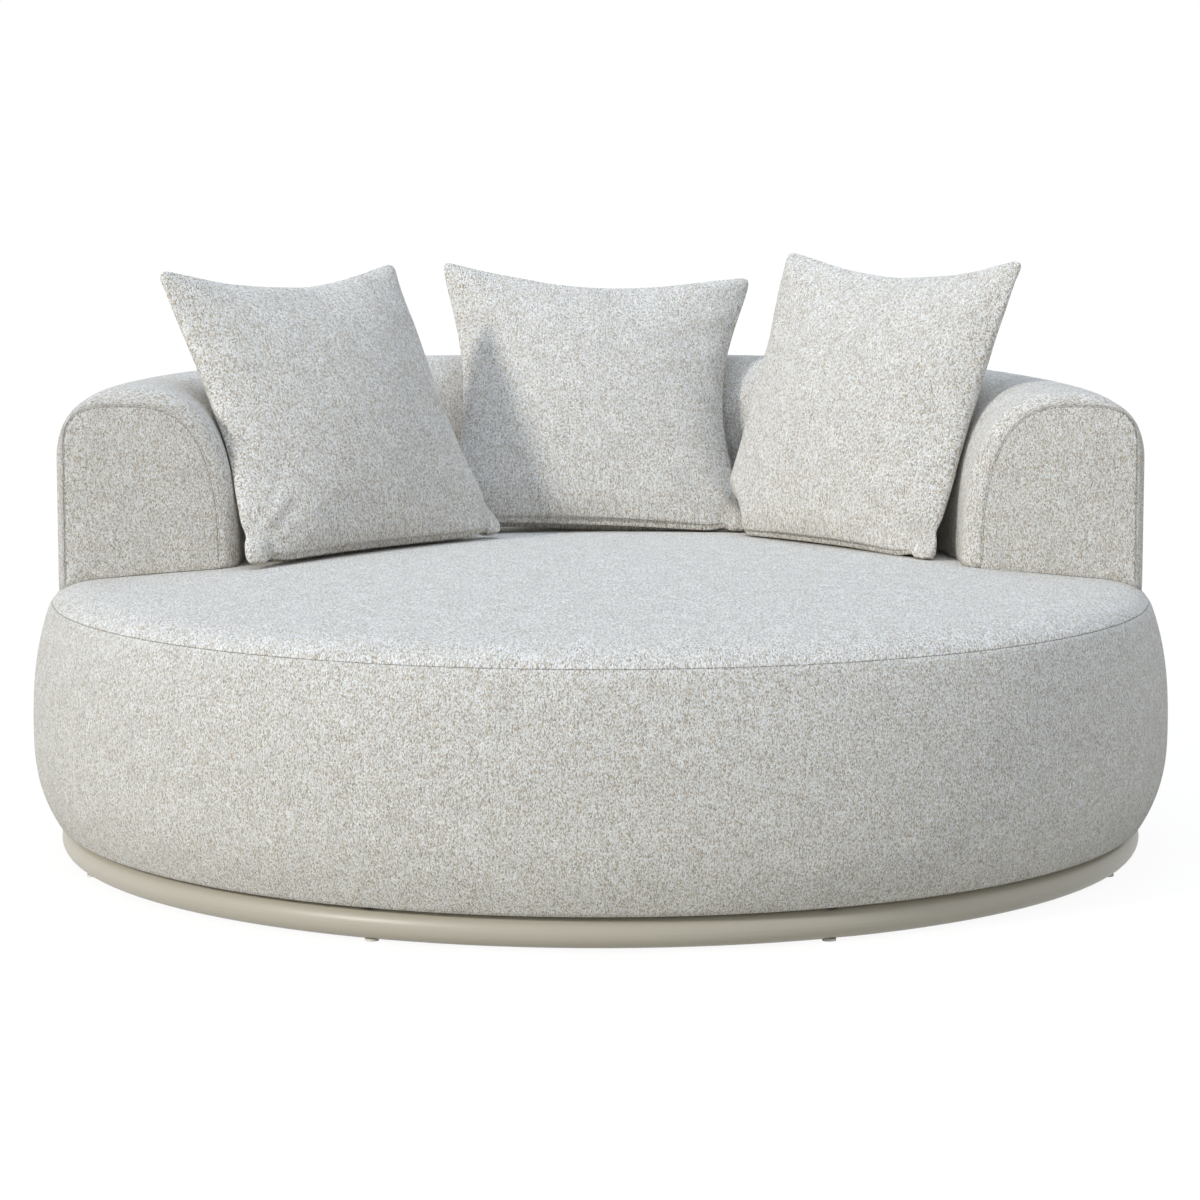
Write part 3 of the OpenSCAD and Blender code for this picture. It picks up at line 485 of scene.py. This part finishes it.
# Rows of the lower hem: the share of its depth below the zip's line, the lift above that line
# and the height off the pillow's middle plane, first for the front panel, then for the back
HEM_FRONT = [(1.0, 0, 0.0052), (0.92, 0, 0.0088), (0.66, 0, 0.0140), (0.25, 0, 0.0185)]
HEM_BACK = [(1.0, 0, 0.0052), (0.88, 0, 0.0046), (0.0, 0.0012, 0.0046), (0.0, 0.0014, -0.0036)]
# The grid's v there, how far the cloth above bellies out, and how far the zip's line bows up
HEM_V = (-1, -0.9985, -0.9965, -0.993, -0.985)
HEM_BELLY, ZIP_BOW = 0.010, 0.026
# Cloth: the pressure inside, frames, the farthest that it moves and how much larger it is
PRESSURE, FRAMES, REACH, SLACK = 4.0, 18, 0.010, 0.03
# Unevenness beside the seams and of the rim, and the share of it that the hem is spared
SEAM_WAVE, RIM_WANDER, HEM_CALM = 0.0030, 0.0035, 0.8
# Ears: how far their move reaches, in (u, v), and how much each is drawn out
EAR_REACH, EAR_OUT = 0.55, 0.008
# Ties behind an ear's tip: distance and width of the neck, how much it narrows and thins,
# and how far from the tip and by how much the cloth before it swells
NECK_AWAY, NECK_WIDTH, NECK_PULL, NECK_THIN = 0.046, 0.013, 0.27, 0.20
SWELL_AWAY, SWELL = 0.020, 0.10
# How far a tuck reaches, in (u, v), and how close a pillow comes to what it rests on
TUCK_REACH, REST_GAP = 0.40, 0.0006


def turn(yaw, lean, roll):
    """Rotation of a pillow: roll in its plane, stood up, leaned back and yawed."""
    def about(axis, degrees):
        c, s = math.cos(math.radians(degrees)), math.sin(math.radians(degrees))
        if axis == "z":
            return np.array([[c, -s, 0], [s, c, 0], [0, 0, 1]])
        return np.array([[1, 0, 0], [0, c, -s], [0, s, c]])
    return about("z", yaw) @ about("x", 90 - lean) @ about("z", roll)


def pillow_grid(bows):
    """Vertices and faces of a closed pillow, and each vertex's (u, v, side, held)."""
    n = PILLOW_STEPS
    even = np.linspace(-1, 1, n + 1)
    knots = 0.5 * even + 0.5 * np.sin(even * math.pi / 2)
    rows = np.concatenate([HEM_V, knots[2:]])
    n_rows = len(rows) - 1
    u, v = np.meshgrid(knots, rows)
    row = np.repeat(np.arange(n_rows + 1), n + 1)
    u, v = u.ravel(), v.ravel()
    left, right, low, high = bows
    x = PILLOW_W / 2 * u - np.where(u > 0, right, left) * u * (1 - v * v)
    y = PILLOW_W / 2 * v - np.where(v > 0, high, low) * v * (1 - u * u)
    full = ((1 - u * u) * (1 - v * v)).clip(0)
    edge = np.maximum(abs(u), abs(v))
    z = PILLOW_T / 2 * FIRST_SHARE * full ** PILLOW_POWER + RIM_HALF * (1 - edge ** 60).clip(0) ** 0.5
    low_down = np.clip((-0.55 - v) / 0.43, 0, 1)
    z += HEM_BELLY * low_down ** 2 * (1 - u * u).clip(0) ** 0.5 * (edge < 1)
    # Corners round off into ears
    round_off = (abs(u) ** EAR_POWER + abs(v) ** EAR_POWER).clip(1) ** (1 / EAR_POWER)
    x, y = x / round_off, y / round_off
    sides = [[x, y, z], [x, y, -z]]
    # The lower hem hangs down in front of the zip
    zip_y = -PILLOW_W / 2 + ZIP_BOW * (1 - u * u)
    hem_depth = (ZIP_BOW - low) * (1 - u * u)
    fade = (1 - u * u).clip(0) ** 0.3
    for k, hem in enumerate((HEM_FRONT, HEM_BACK)):
        y_side, z_side = y.copy(), sides[k][2].copy()
        for i, (share, lift, off) in enumerate(hem):
            at = row == i
            y_side[at] = (zip_y - share * hem_depth + lift * fade)[at] / round_off[at]
            z_side[at] = (off * fade)[at]
        sides[k] = [x, y_side, z_side]
    # The back panel shares the front's vertices on the rim
    rim = edge > 1 - 1e-9
    back = np.arange(len(u))
    back[~rim] = len(u) + np.arange((~rim).sum())
    sides[0][2] = np.where(rim & (row > 0), 0, sides[0][2])
    verts = np.vstack([np.stack(sides[0], 1), np.stack(sides[1], 1)[~rim]])
    held = rim | (row < 4)
    params = np.vstack([np.stack([u, v, u * 0 + 1, held], 1),
                        np.stack([u, v, u * 0 - 1, held], 1)[~rim]])
    faces = []
    for j in range(n_rows):
        for i in range(n):
            a = j * (n + 1) + i
            b, c, d = a + 1, a + n + 2, a + n + 1
            faces.append((a, b, c, d))
            faces.append((back[a], back[d], back[c], back[b]))
    return verts, faces, params


def simulate(obj, held, share):
    """Swells a closed mesh as cloth between its held vertices, by a share at each vertex."""
    start = coordinates(obj)
    group = obj.vertex_groups.new(name="rim")
    group.add([int(i) for i in np.nonzero(held)[0]], 1.0, "REPLACE")
    cloth_group = obj.vertex_groups.new(name="panel")
    cloth_group.add([int(i) for i in np.nonzero(~held)[0]], 1.0, "REPLACE")
    cloth = obj.modifiers.new("cloth", "CLOTH")
    s = cloth.settings
    s.quality = 5
    s.mass = 0.35
    s.tension_stiffness = 15
    s.compression_stiffness = 15
    s.shear_stiffness = 5
    s.bending_stiffness = 2.0
    s.use_pressure = True
    s.uniform_pressure_force = PRESSURE
    s.effector_weights.gravity = 0
    s.vertex_group_mass = "rim"
    s.pin_stiffness = 1.0
    s.vertex_group_shrink = "panel"
    s.shrink_min = 0.0
    s.shrink_max = -SLACK
    cloth.collision_settings.use_self_collision = False
    cloth.collision_settings.use_collision = False
    cloth.point_cache.frame_start = 1
    cloth.point_cache.frame_end = FRAMES
    scene = bpy.context.scene
    for f in range(1, FRAMES + 1):
        scene.frame_set(f)
    evaluated = obj.evaluated_get(bpy.context.evaluated_depsgraph_get())
    co = np.zeros(len(obj.data.vertices) * 3)
    evaluated.data.vertices.foreach_get("co", co)
    move = co.reshape(-1, 3) - start
    size = np.maximum(np.linalg.norm(move, axis=1), 1e-9)
    move *= (REACH * np.tanh(size / REACH) / size * share)[:, None]
    obj.modifiers.remove(cloth)
    obj.vertex_groups.clear()
    scene.frame_set(1)
    set_coordinates(obj, start + move)


def crease(co, params, start, end, width, depth):
    """Presses a soft fold into the front of a pillow, between two (u, v) points."""
    a, b = np.array(start, float), np.array(end, float)
    p = params[:, :2]
    along = np.clip(((p - a) @ (b - a)) / ((b - a) @ (b - a)), 0, 1)
    away = np.linalg.norm(p - (a + along[:, None] * (b - a)), axis=1)
    fade = np.sin(np.clip(along, 0.02, 0.98) * math.pi) ** 0.6
    press = np.exp(-(away / width) ** 2) - 0.45 * np.exp(-((away - 1.9 * width) / (0.9 * width)) ** 2)
    open_edge = 1 - np.maximum(abs(p[:, 0]), abs(p[:, 1])) ** 12
    co[:, 2] -= np.where(params[:, 2] > 0, depth * press * fade * open_edge, 0)


def make_pillow(name, look):
    """A pillow, swelled, creased, put in its place and rested on the seat and the backrest."""
    verts, faces, params = pillow_grid(look["bows"])
    u, v, side, held = params.T
    verts[:, 2] *= look["fullness"]
    uvs = []
    for f in faces:
        mirror = -1 if any(side[i] < 0 for i in f) else 1
        uvs += [(verts[i, 0] * mirror, verts[i, 1]) for i in f]
    made = mesh_object(name, verts, faces, uvs, np.full(len(verts), FAR))
    simulate(made, held > 0, smoothstep(np.clip((v + 0.992) / 0.13, 0, 1)))
    co = coordinates(made)
    for fold in look["folds"]:
        crease(co, params, *fold)
    # Slack waves beside the seams, and a rim that wanders, though less at the lower hem
    edge = np.maximum(abs(u), abs(v))
    wave = wander(np.stack([u * 0.5, v * 0.5, side * 0.2], 1), 0.16, look["seed"])
    co[:, 2] += side * SEAM_WAVE * wave * np.clip((edge - 0.45) / 0.4, 0, 1) * (1 - edge ** 16)
    calm = 1 - HEM_CALM * np.clip((-0.90 - v) / 0.08, 0, 1)
    drift = wander(np.stack([u * 0.5, v * 0.5, u * 0], 1), 0.30, look["seed"] + 5)
    co[:, 2] += RIM_WANDER * calm * drift * edge ** 3
    # The ears go where the photograph has them
    for cu, cv, move in look["ears"]:
        away = np.hypot(u - cu, v - cv)
        near = np.exp(-(away / EAR_REACH) ** 2)[:, None]
        co[:, :2] += near * (np.array(move) + np.array([cu, cv]) * EAR_OUT)
    # A lower ear is drawn in behind its tip, as the slack cloth gathers there
    for cu, cv in look["ties"]:
        tip = co[np.argmin(np.hypot(u - cu, v - cv))].copy()
        away = np.linalg.norm((co - tip)[:, :2], axis=1)
        neck = np.exp(-((away - NECK_AWAY) / NECK_WIDTH) ** 2)
        inward = np.array([-cu, -cv]) / math.sqrt(2)
        across = (co - tip)[:, :2] - ((co - tip)[:, :2] @ inward)[:, None] * inward
        co[:, :2] -= NECK_PULL * neck[:, None] * across
        co[:, 2] -= NECK_THIN * neck * co[:, 2]
        co[:, 2] += SWELL * np.exp(-((away - SWELL_AWAY) / NECK_WIDTH) ** 2) * co[:, 2]
    co = co @ turn(*look["turn"]).T + np.array(look["centre"])
    for cu, cv, move in look.get("tucks", ()):
        near = np.clip(1 - np.hypot(u - cu, v - cv) / TUCK_REACH, 0, 1)
        co += smoothstep(near)[:, None] * np.array(move)
    # It lies on the seat and against the backrest
    r = np.hypot(co[:, 0], co[:, 1])
    co[:, 2] = np.maximum(co[:, 2], seat_z(r) + REST_GAP)
    stop = inner_r(co[:, 2]) - REST_GAP
    behind = (co[:, 2] < CREST_Z) & (co[:, 1] > -0.05) & (r > stop)
    co[behind, :2] *= (stop[behind] / r[behind])[:, None]
    set_coordinates(made, co)
    return smoothed(made)


def smoothed(obj):
    """One subdivision, kept in the mesh."""
    modifier = obj.modifiers.new("smooth", "SUBSURF")
    modifier.levels = 1
    modifier.render_levels = 1
    evaluated = obj.evaluated_get(bpy.context.evaluated_depsgraph_get())
    mesh = bpy.data.meshes.new_from_object(evaluated)
    obj.modifiers.clear()
    old, obj.data = obj.data, mesh
    bpy.data.meshes.remove(old)
    return obj


# turn is (yaw, lean, roll) in degrees; bows draw in the left, right, lower and upper seam;
# ears and tucks move the cloth round a corner, and ties draw it in behind one; folds run
# between two (u, v) points, with their width and depth; seed draws the unevenness
PILLOWS = {
    "left": {
        "turn": (43, 29, 0.5), "centre": (-0.439625, 0.165509, 0.678262), "seed": 11,
        "bows": (0.020, 0.024, 0.003, 0.033), "ties": [(-1, -1), (1, -1)], "fullness": 1.0,
        "ears": [(-1, -1, (-0.0139, 0.0046)), (1, -1, (0.006, 0.0122)),
                 (-1, 1, (0.0079, 0.0053)), (1, 1, (-0.0177, 0.0033))],
        "folds": [((-0.92, -0.88), (-0.60, -0.66), 0.045, 0.003),
                  ((-0.93, -0.82), (-0.72, -0.46), 0.035, 0.0025)],
    },
    "middle": {
        "turn": (6, 34, -3), "centre": (-0.012145, 0.517359, 0.67245), "seed": 17,
        "bows": (0.028, 0.030, 0.002, 0.033), "ties": [(1, -1)], "fullness": 1.0,
        "ears": [(1, -1, (0.0083, 0.0064)), (-1, 1, (-0.0076, 0.0082)), (1, 1, (0.0219, 0.0011))],
        "folds": [((0.95, -0.95), (0.55, -0.60), 0.035, 0.004)],
    },
    "right": {
        "turn": (-47, 24, -0.5), "centre": (0.438216, 0.254895, 0.683427), "seed": 29,
        "bows": (0.006, 0.020, 0.003, 0.033), "ties": [(1, -1)], "fullness": 1.05,
        "ears": [(-1, 1, (-0.0248, 0.006)), (1, 1, (-0.0123, 0.005)), (1, -1, (-0.0074, 0.0029))],
        "tucks": [(-1, -1, (0.060, 0.052, 0.006))],
        "folds": [((0.97, -0.92), (0.50, -0.70), 0.035, 0.005),
                  ((0.93, -0.97), (0.72, -0.50), 0.030, 0.004)],
    },
}


# ---------------------------------------------------------------- materials
def node(tree, kind, inputs=None, **settings):
    made = tree.nodes.new(kind)
    for key, value in settings.items():
        setattr(made, key, value)
    for key, value in (inputs or {}).items():
        socket = made.inputs[key]
        if isinstance(value, bpy.types.NodeSocket):
            tree.links.new(value, socket)
        else:
            socket.default_value = value
    return made


def new_material(name):
    made = bpy.data.materials.new(name)
    made.use_nodes = True
    tree = made.node_tree
    tree.nodes.clear()
    shader = node(tree, "ShaderNodeBsdfPrincipled")
    out = node(tree, "ShaderNodeOutputMaterial")
    tree.links.new(shader.outputs[0], out.inputs["Surface"])
    return made, tree, shader


def math_node(tree, operation, a, b):
    return node(tree, "ShaderNodeMath", {0: a, 1: b}, operation=operation).outputs[0]


def vector_math(tree, operation, a, b):
    return node(tree, "ShaderNodeVectorMath", {0: a, 1: b}, operation=operation).outputs[0]


def flat_noise(tree, place, scale, detail):
    """Noise over the laid out cloth."""
    return node(tree, "ShaderNodeTexNoise", {"Vector": place, "Scale": scale, "Detail": detail},
                noise_dimensions="2D")


def ranged(tree, value, low, high, to_low, to_high):
    """A value between low and high, brought between two others."""
    return node(tree, "ShaderNodeMapRange", {"Value": value, "From Min": low, "From Max": high,
                                             "To Min": to_low, "To Max": to_high}).outputs[0]


def ramp(tree, factor, stops):
    made = node(tree, "ShaderNodeValToRGB", {"Fac": factor})
    elements = made.color_ramp.elements
    while len(elements) < len(stops):
        elements.new(0.5)
    for element, (at, colour) in zip(elements, stops):
        element.position = at
        element.color = (*colour, 1)
    return made.outputs[0]


def mix_colour(tree, blend, factor, a, b):
    made = node(tree, "ShaderNodeMix", data_type="RGBA", blend_type=blend)
    for key, value in ((0, factor), (6, a), (7, b)):
        if isinstance(value, bpy.types.NodeSocket):
            tree.links.new(value, made.inputs[key])
        else:
            made.inputs[key].default_value = value if key == 0 else (*value, 1)
    return made.outputs[2]


def looped_fabric(name):
    """Loops of thick yarn, each with its own tone and painted shade between them, over a warm ground.
    """
    made, tree, shader = new_material(name)
    weave = node(tree, "ShaderNodeUVMap", uv_map="weave").outputs[0]
    # Loops: long cells that bend a little, each with its own tone, with painted shade that darkens it
    # round its edge and a little painted light in its middle
    curl = flat_noise(tree, weave, 520.0, 1.0).outputs["Color"]
    shift = vector_math(tree, "SUBTRACT", curl, (0.5, 0.5, 0.5))
    shift = node(tree, "ShaderNodeVectorMath", {0: shift, "Scale": 0.0018}, operation="SCALE")
    bent = vector_math(tree, "ADD", weave, shift.outputs[0])
    loops = vector_math(tree, "MULTIPLY", bent, (790.0, 350.0, 1.0))
    cells = node(tree, "ShaderNodeTexVoronoi", {"Vector": loops, "Scale": 1.0, "Randomness": 0.9},
                 voronoi_dimensions="2D")
    tone = node(tree, "ShaderNodeSeparateColor", {0: cells.outputs["Color"]}).outputs[0]
    yarn = ramp(tree, tone, [(0.0, (0.49, 0.405, 0.31)), (0.22, (0.68, 0.625, 0.54)),
                             (0.50, (0.81, 0.785, 0.735)), (0.80, (0.885, 0.88, 0.86)),
                             (1.0, (0.935, 0.94, 0.93))])
    # Painted shade between the loops: each loop darker round its edge, slightly lighter in its middle
    loop_painted_shade = ranged(tree, cells.outputs["Distance"], 0.35, 0.85, 1.06, 0.58)
    shade = mix_colour(tree, "MULTIPLY", 1.0, yarn, loop_painted_shade)
    # Fibres, streaks along the yarn and a soft cloudiness over it
    fibre = flat_noise(tree, weave, 1500.0, 2.0).outputs[0]
    fine = ranged(tree, fibre, 0.25, 0.75, 0.90, 1.08)
    drawn_out = vector_math(tree, "MULTIPLY", weave, (330.0, 45.0, 1.0))
    grain = ranged(tree, flat_noise(tree, drawn_out, 1.0, 1.0).outputs[0], 0.3, 0.7, 0.93, 1.06)
    cloud = ranged(tree, flat_noise(tree, weave, 26.0, 4.0).outputs[0], 0.3, 0.7, 0.96, 1.035)
    amount = math_node(tree, "MULTIPLY", cloud, fine)
    amount = math_node(tree, "MULTIPLY", amount, grain)
    shade = mix_colour(tree, "MULTIPLY", 1.0, shade, amount)
    # Painted shade in the groove along a seam, broken into dashes
    seam = node(tree, "ShaderNodeAttribute", attribute_name="seam").outputs["Fac"]
    near = ranged(tree, seam, 0.0009, 0.0024, 1.0, 0.0)
    dots = ranged(tree, flat_noise(tree, weave, 330.0, 0.0).outputs[0], 0.40, 0.6, 0.25, 0.95)
    painted_seam_shade = math_node(tree, "MULTIPLY", near, dots)
    shade = mix_colour(tree, "MIX", painted_seam_shade, shade, (0.17, 0.14, 0.11))
    # Relief: round loops with a fibrous surface
    rounded = math_node(tree, "POWER", cells.outputs["Distance"], 2.0)
    round_loop = math_node(tree, "SUBTRACT", 1.0, rounded)
    height = math_node(tree, "ADD", round_loop, math_node(tree, "MULTIPLY", fibre, 0.35))
    bump = node(tree, "ShaderNodeBump", {"Height": height, "Strength": 1.0, "Distance": 0.0013})
    tree.links.new(shade, shader.inputs["Base Color"])
    tree.links.new(bump.outputs[0], shader.inputs["Normal"])
    shader.inputs["Roughness"].default_value = 0.95
    shader.inputs["Sheen Weight"].default_value = 0.08
    shader.inputs["Sheen Roughness"].default_value = 0.6
    shader.inputs["Specular IOR Level"].default_value = 0.15
    return made


def solid_finish(name, colour, roughness, metallic=0.0, *, grain, bump, spread=0.06):
    """A plain material with its own grain in tone, roughness and surface."""
    made, tree, shader = new_material(name)
    place = node(tree, "ShaderNodeTexCoord").outputs["Object"]
    settings = {"Vector": place, "Scale": grain, "Detail": 4.0}
    noise = node(tree, "ShaderNodeTexNoise", settings).outputs[0]
    low = tuple(c * (1 - spread) for c in colour)
    high = tuple(min(1, c * (1 + spread)) for c in colour)
    tree.links.new(ramp(tree, noise, [(0.3, low), (0.7, high)]), shader.inputs["Base Color"])
    rough = ranged(tree, noise, 0.3, 0.7, roughness * 0.9, min(1, roughness * 1.1))
    tree.links.new(rough, shader.inputs["Roughness"])
    shader.inputs["Metallic"].default_value = metallic
    relief = node(tree, "ShaderNodeBump", {"Height": noise, "Strength": 0.5, "Distance": bump})
    tree.links.new(relief.outputs[0], shader.inputs["Normal"])
    return made


def woven_finish(name, colour, pitch):
    """Straps, mesh and tape: a plain weave of threads along two directions."""
    made, tree, shader = new_material(name)
    place = node(tree, "ShaderNodeTexCoord").outputs["Object"]
    settings = {"Vector": place, "Scale": 0.5 / pitch, "Distortion": 0.6, "Detail": 1.0}
    waves = [node(tree, "ShaderNodeTexWave", settings, bands_direction=direction).outputs[0]
             for direction in ("X", "Y")]
    threads = math_node(tree, "MAXIMUM", *waves)
    low = tuple(c * 0.65 for c in colour)
    tree.links.new(ramp(tree, threads, [(0.1, low), (0.9, colour)]), shader.inputs["Base Color"])
    bump = node(tree, "ShaderNodeBump", {"Height": threads, "Strength": 0.6, "Distance": pitch * 0.3})
    tree.links.new(bump.outputs[0], shader.inputs["Normal"])
    shader.inputs["Roughness"].default_value = 0.85
    return made


FABRIC = looped_fabric("looped_fabric")
PAINT = solid_finish("taupe_powder_coat", (0.50, 0.465, 0.385), 0.38, grain=900.0, bump=0.00008,
                     spread=0.03)
FINISHES = {
    "frame_aluminium": solid_finish("mill_aluminium", (0.72, 0.73, 0.74), 0.42, 1.0, grain=60.0,
                                    bump=0.00005),
    "zinc_steel": solid_finish("zinc_steel", (0.60, 0.60, 0.61), 0.36, 1.0, grain=200.0, bump=0.00004),
    "white_nylon": solid_finish("white_nylon", (0.80, 0.785, 0.74), 0.45, grain=400.0, bump=0.00006),
    "pad_rubber": solid_finish("pad_rubber", (0.022, 0.022, 0.023), 0.8, grain=500.0, bump=0.0001),
    "webbing": woven_finish("elastic_webbing", (0.055, 0.050, 0.046), 0.0028),
    "dust_mesh": woven_finish("dust_mesh", (0.018, 0.018, 0.019), 0.0016),
    "zip_tape": woven_finish("zip_tape", (0.46, 0.42, 0.34), 0.0011),
    "zip_metal": solid_finish("zip_metal", (0.50, 0.47, 0.42), 0.35, 1.0, grain=500.0, bump=0.00003),
}
NODE_FINISH = {
    "frame_aluminium": ("seat_lower_hoop", "floor_beams", "seat_posts", "centre_post",
                        "seat_upper_hoop", "deck_beams", "back_sockets", "back_uprights",
                        "back_lower_rail", "back_upper_rail"),
    "zinc_steel": ("base_bolts", "rivet_nuts", "webbing_screws", "back_bolts"),
    "white_nylon": ("glides", "spacer_sleeves"),
    "pad_rubber": ("spacer_pads",),
    "webbing": ("webbing_across", "webbing_along"),
    "dust_mesh": ("dust_cover",),
    "zip_tape": ("pillow_left_zip", "pillow_middle_zip", "pillow_right_zip"),
    "zip_metal": ("pillow_left_slider", "pillow_middle_slider", "pillow_right_slider"),
}


def paint_object(obj, material):
    obj.data.materials.clear()
    obj.data.materials.append(material)


for finish, names in NODE_FINISH.items():
    for name in names:
        paint_object(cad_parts[name], FINISHES[finish])
for name in ("base_ring", "cross_beam_long", "cross_beams_short"):
    paint_object(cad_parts[name], PAINT)

# ---------------------------------------------------------------- the upholstery rides on its bodies
FOAM_FILL, PILLOW_FILL = 0.9, 0.75
SOFT = [
    (make_side(), "daybed", ("seat_side_cover", "side_foam"), FOAM_FILL),
    (make_top(), "daybed", ("seat_top_cover", "seat_foam"), FOAM_FILL),
    (make_back(), "daybed", ("back_cover", "back_foam"), FOAM_FILL),
    (make_panel("arm_panel_right_fabric", -ARM_ANGLE), "daybed",
     ("arm_panel_right", "arm_pad_right"), FOAM_FILL),
    (make_panel("arm_panel_left_fabric", 180 + ARM_ANGLE), "daybed",
     ("arm_panel_left", "arm_pad_left"), FOAM_FILL),
]
for key, look in PILLOWS.items():
    nodes = tuple("pillow_%s_%s" % (key, part) for part in ("front", "back", "fill"))
    SOFT.append((make_pillow("pillow_%s_fabric" % key, look), "pillow_%s" % key, nodes, PILLOW_FILL))
for piece, body, nodes, fill in SOFT:
    paint_object(piece, FABRIC)
    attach(piece, body)
    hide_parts(*nodes)

# ---------------------------------------------------------------- floor, world and lights
FLOOR_HALF = 40


def seen_rays(tree):
    """1 for rays from the camera, also by way of a mirror or glass, and 0 for all others."""
    rays = node(tree, "ShaderNodeLightPath").outputs
    onward = math_node(tree, "MAXIMUM", rays["Is Glossy Ray"], rays["Is Transmission Ray"])
    return math_node(tree, "MAXIMUM", rays["Is Camera Ray"], onward)


corners = [(x * FLOOR_HALF, y * FLOOR_HALF, 0) for x, y in ((-1, -1), (1, -1), (1, 1), (-1, 1))]
floor = mesh_object("floor", corners, [(0, 1, 2, 3)])
floor_material = bpy.data.materials.new("studio_floor")
floor_material.use_nodes = True
tree = floor_material.node_tree
tree.nodes.clear()
matt = node(tree, "ShaderNodeBsdfDiffuse", {"Color": (0.60, 0.58, 0.53, 1)})
glow = node(tree, "ShaderNodeEmission", {"Color": (1, 1, 1, 1), "Strength": 1.10})
share = node(tree, "ShaderNodeMixShader", {0: 0.84, 1: matt.outputs[0], 2: glow.outputs[0]})
whole = node(tree, "ShaderNodeMixShader",
             {0: seen_rays(tree), 1: matt.outputs[0], 2: share.outputs[0]})
node(tree, "ShaderNodeOutputMaterial", {"Surface": whole.outputs[0]})
paint_object(floor, floor_material)

world = bpy.data.worlds.new("studio")
bpy.context.scene.world = world
world.use_nodes = True
tree = world.node_tree
tree.nodes.clear()
direction = node(tree, "ShaderNodeTexCoord").outputs["Generated"]
height = node(tree, "ShaderNodeSeparateXYZ", {0: direction}).outputs["Z"]
sky = ramp(tree, height, [(0.0, (0.40, 0.385, 0.35)), (0.35, (0.45, 0.445, 0.43)),
                          (1.0, (0.61, 0.72, 0.91))])
soft_light = node(tree, "ShaderNodeBackground", {"Color": sky, "Strength": 1.0})
white = node(tree, "ShaderNodeBackground", {"Color": (1, 1, 1, 1), "Strength": 1.0})
both = node(tree, "ShaderNodeMixShader",
            {0: seen_rays(tree), 1: soft_light.outputs[0], 2: white.outputs[0]})
node(tree, "ShaderNodeOutputWorld", {"Surface": both.outputs[0]})


def sun(name, direction, strength, softness, colour):
    """A soft lamp that shines from a direction; softness is its angle in degrees."""
    data = bpy.data.lights.new(name, "SUN")
    data.energy = strength
    data.angle = math.radians(softness)
    data.color = colour
    lamp = bpy.data.objects.new(name, data)
    x, y, z = direction
    lamp.rotation_euler = (math.atan2(math.hypot(x, y), z), 0, math.atan2(x, -y))
    bpy.context.scene.collection.objects.link(lamp)


sun("key_lamp", (-0.70, -0.54, 0.47), 1.70, 8, (1.0, 0.975, 0.925))
sun("top_lamp", (0.0, -0.05, 1.0), 1.00, 60, (0.76, 0.88, 1.0))

bpy.context.scene.view_settings.view_transform = "Standard"
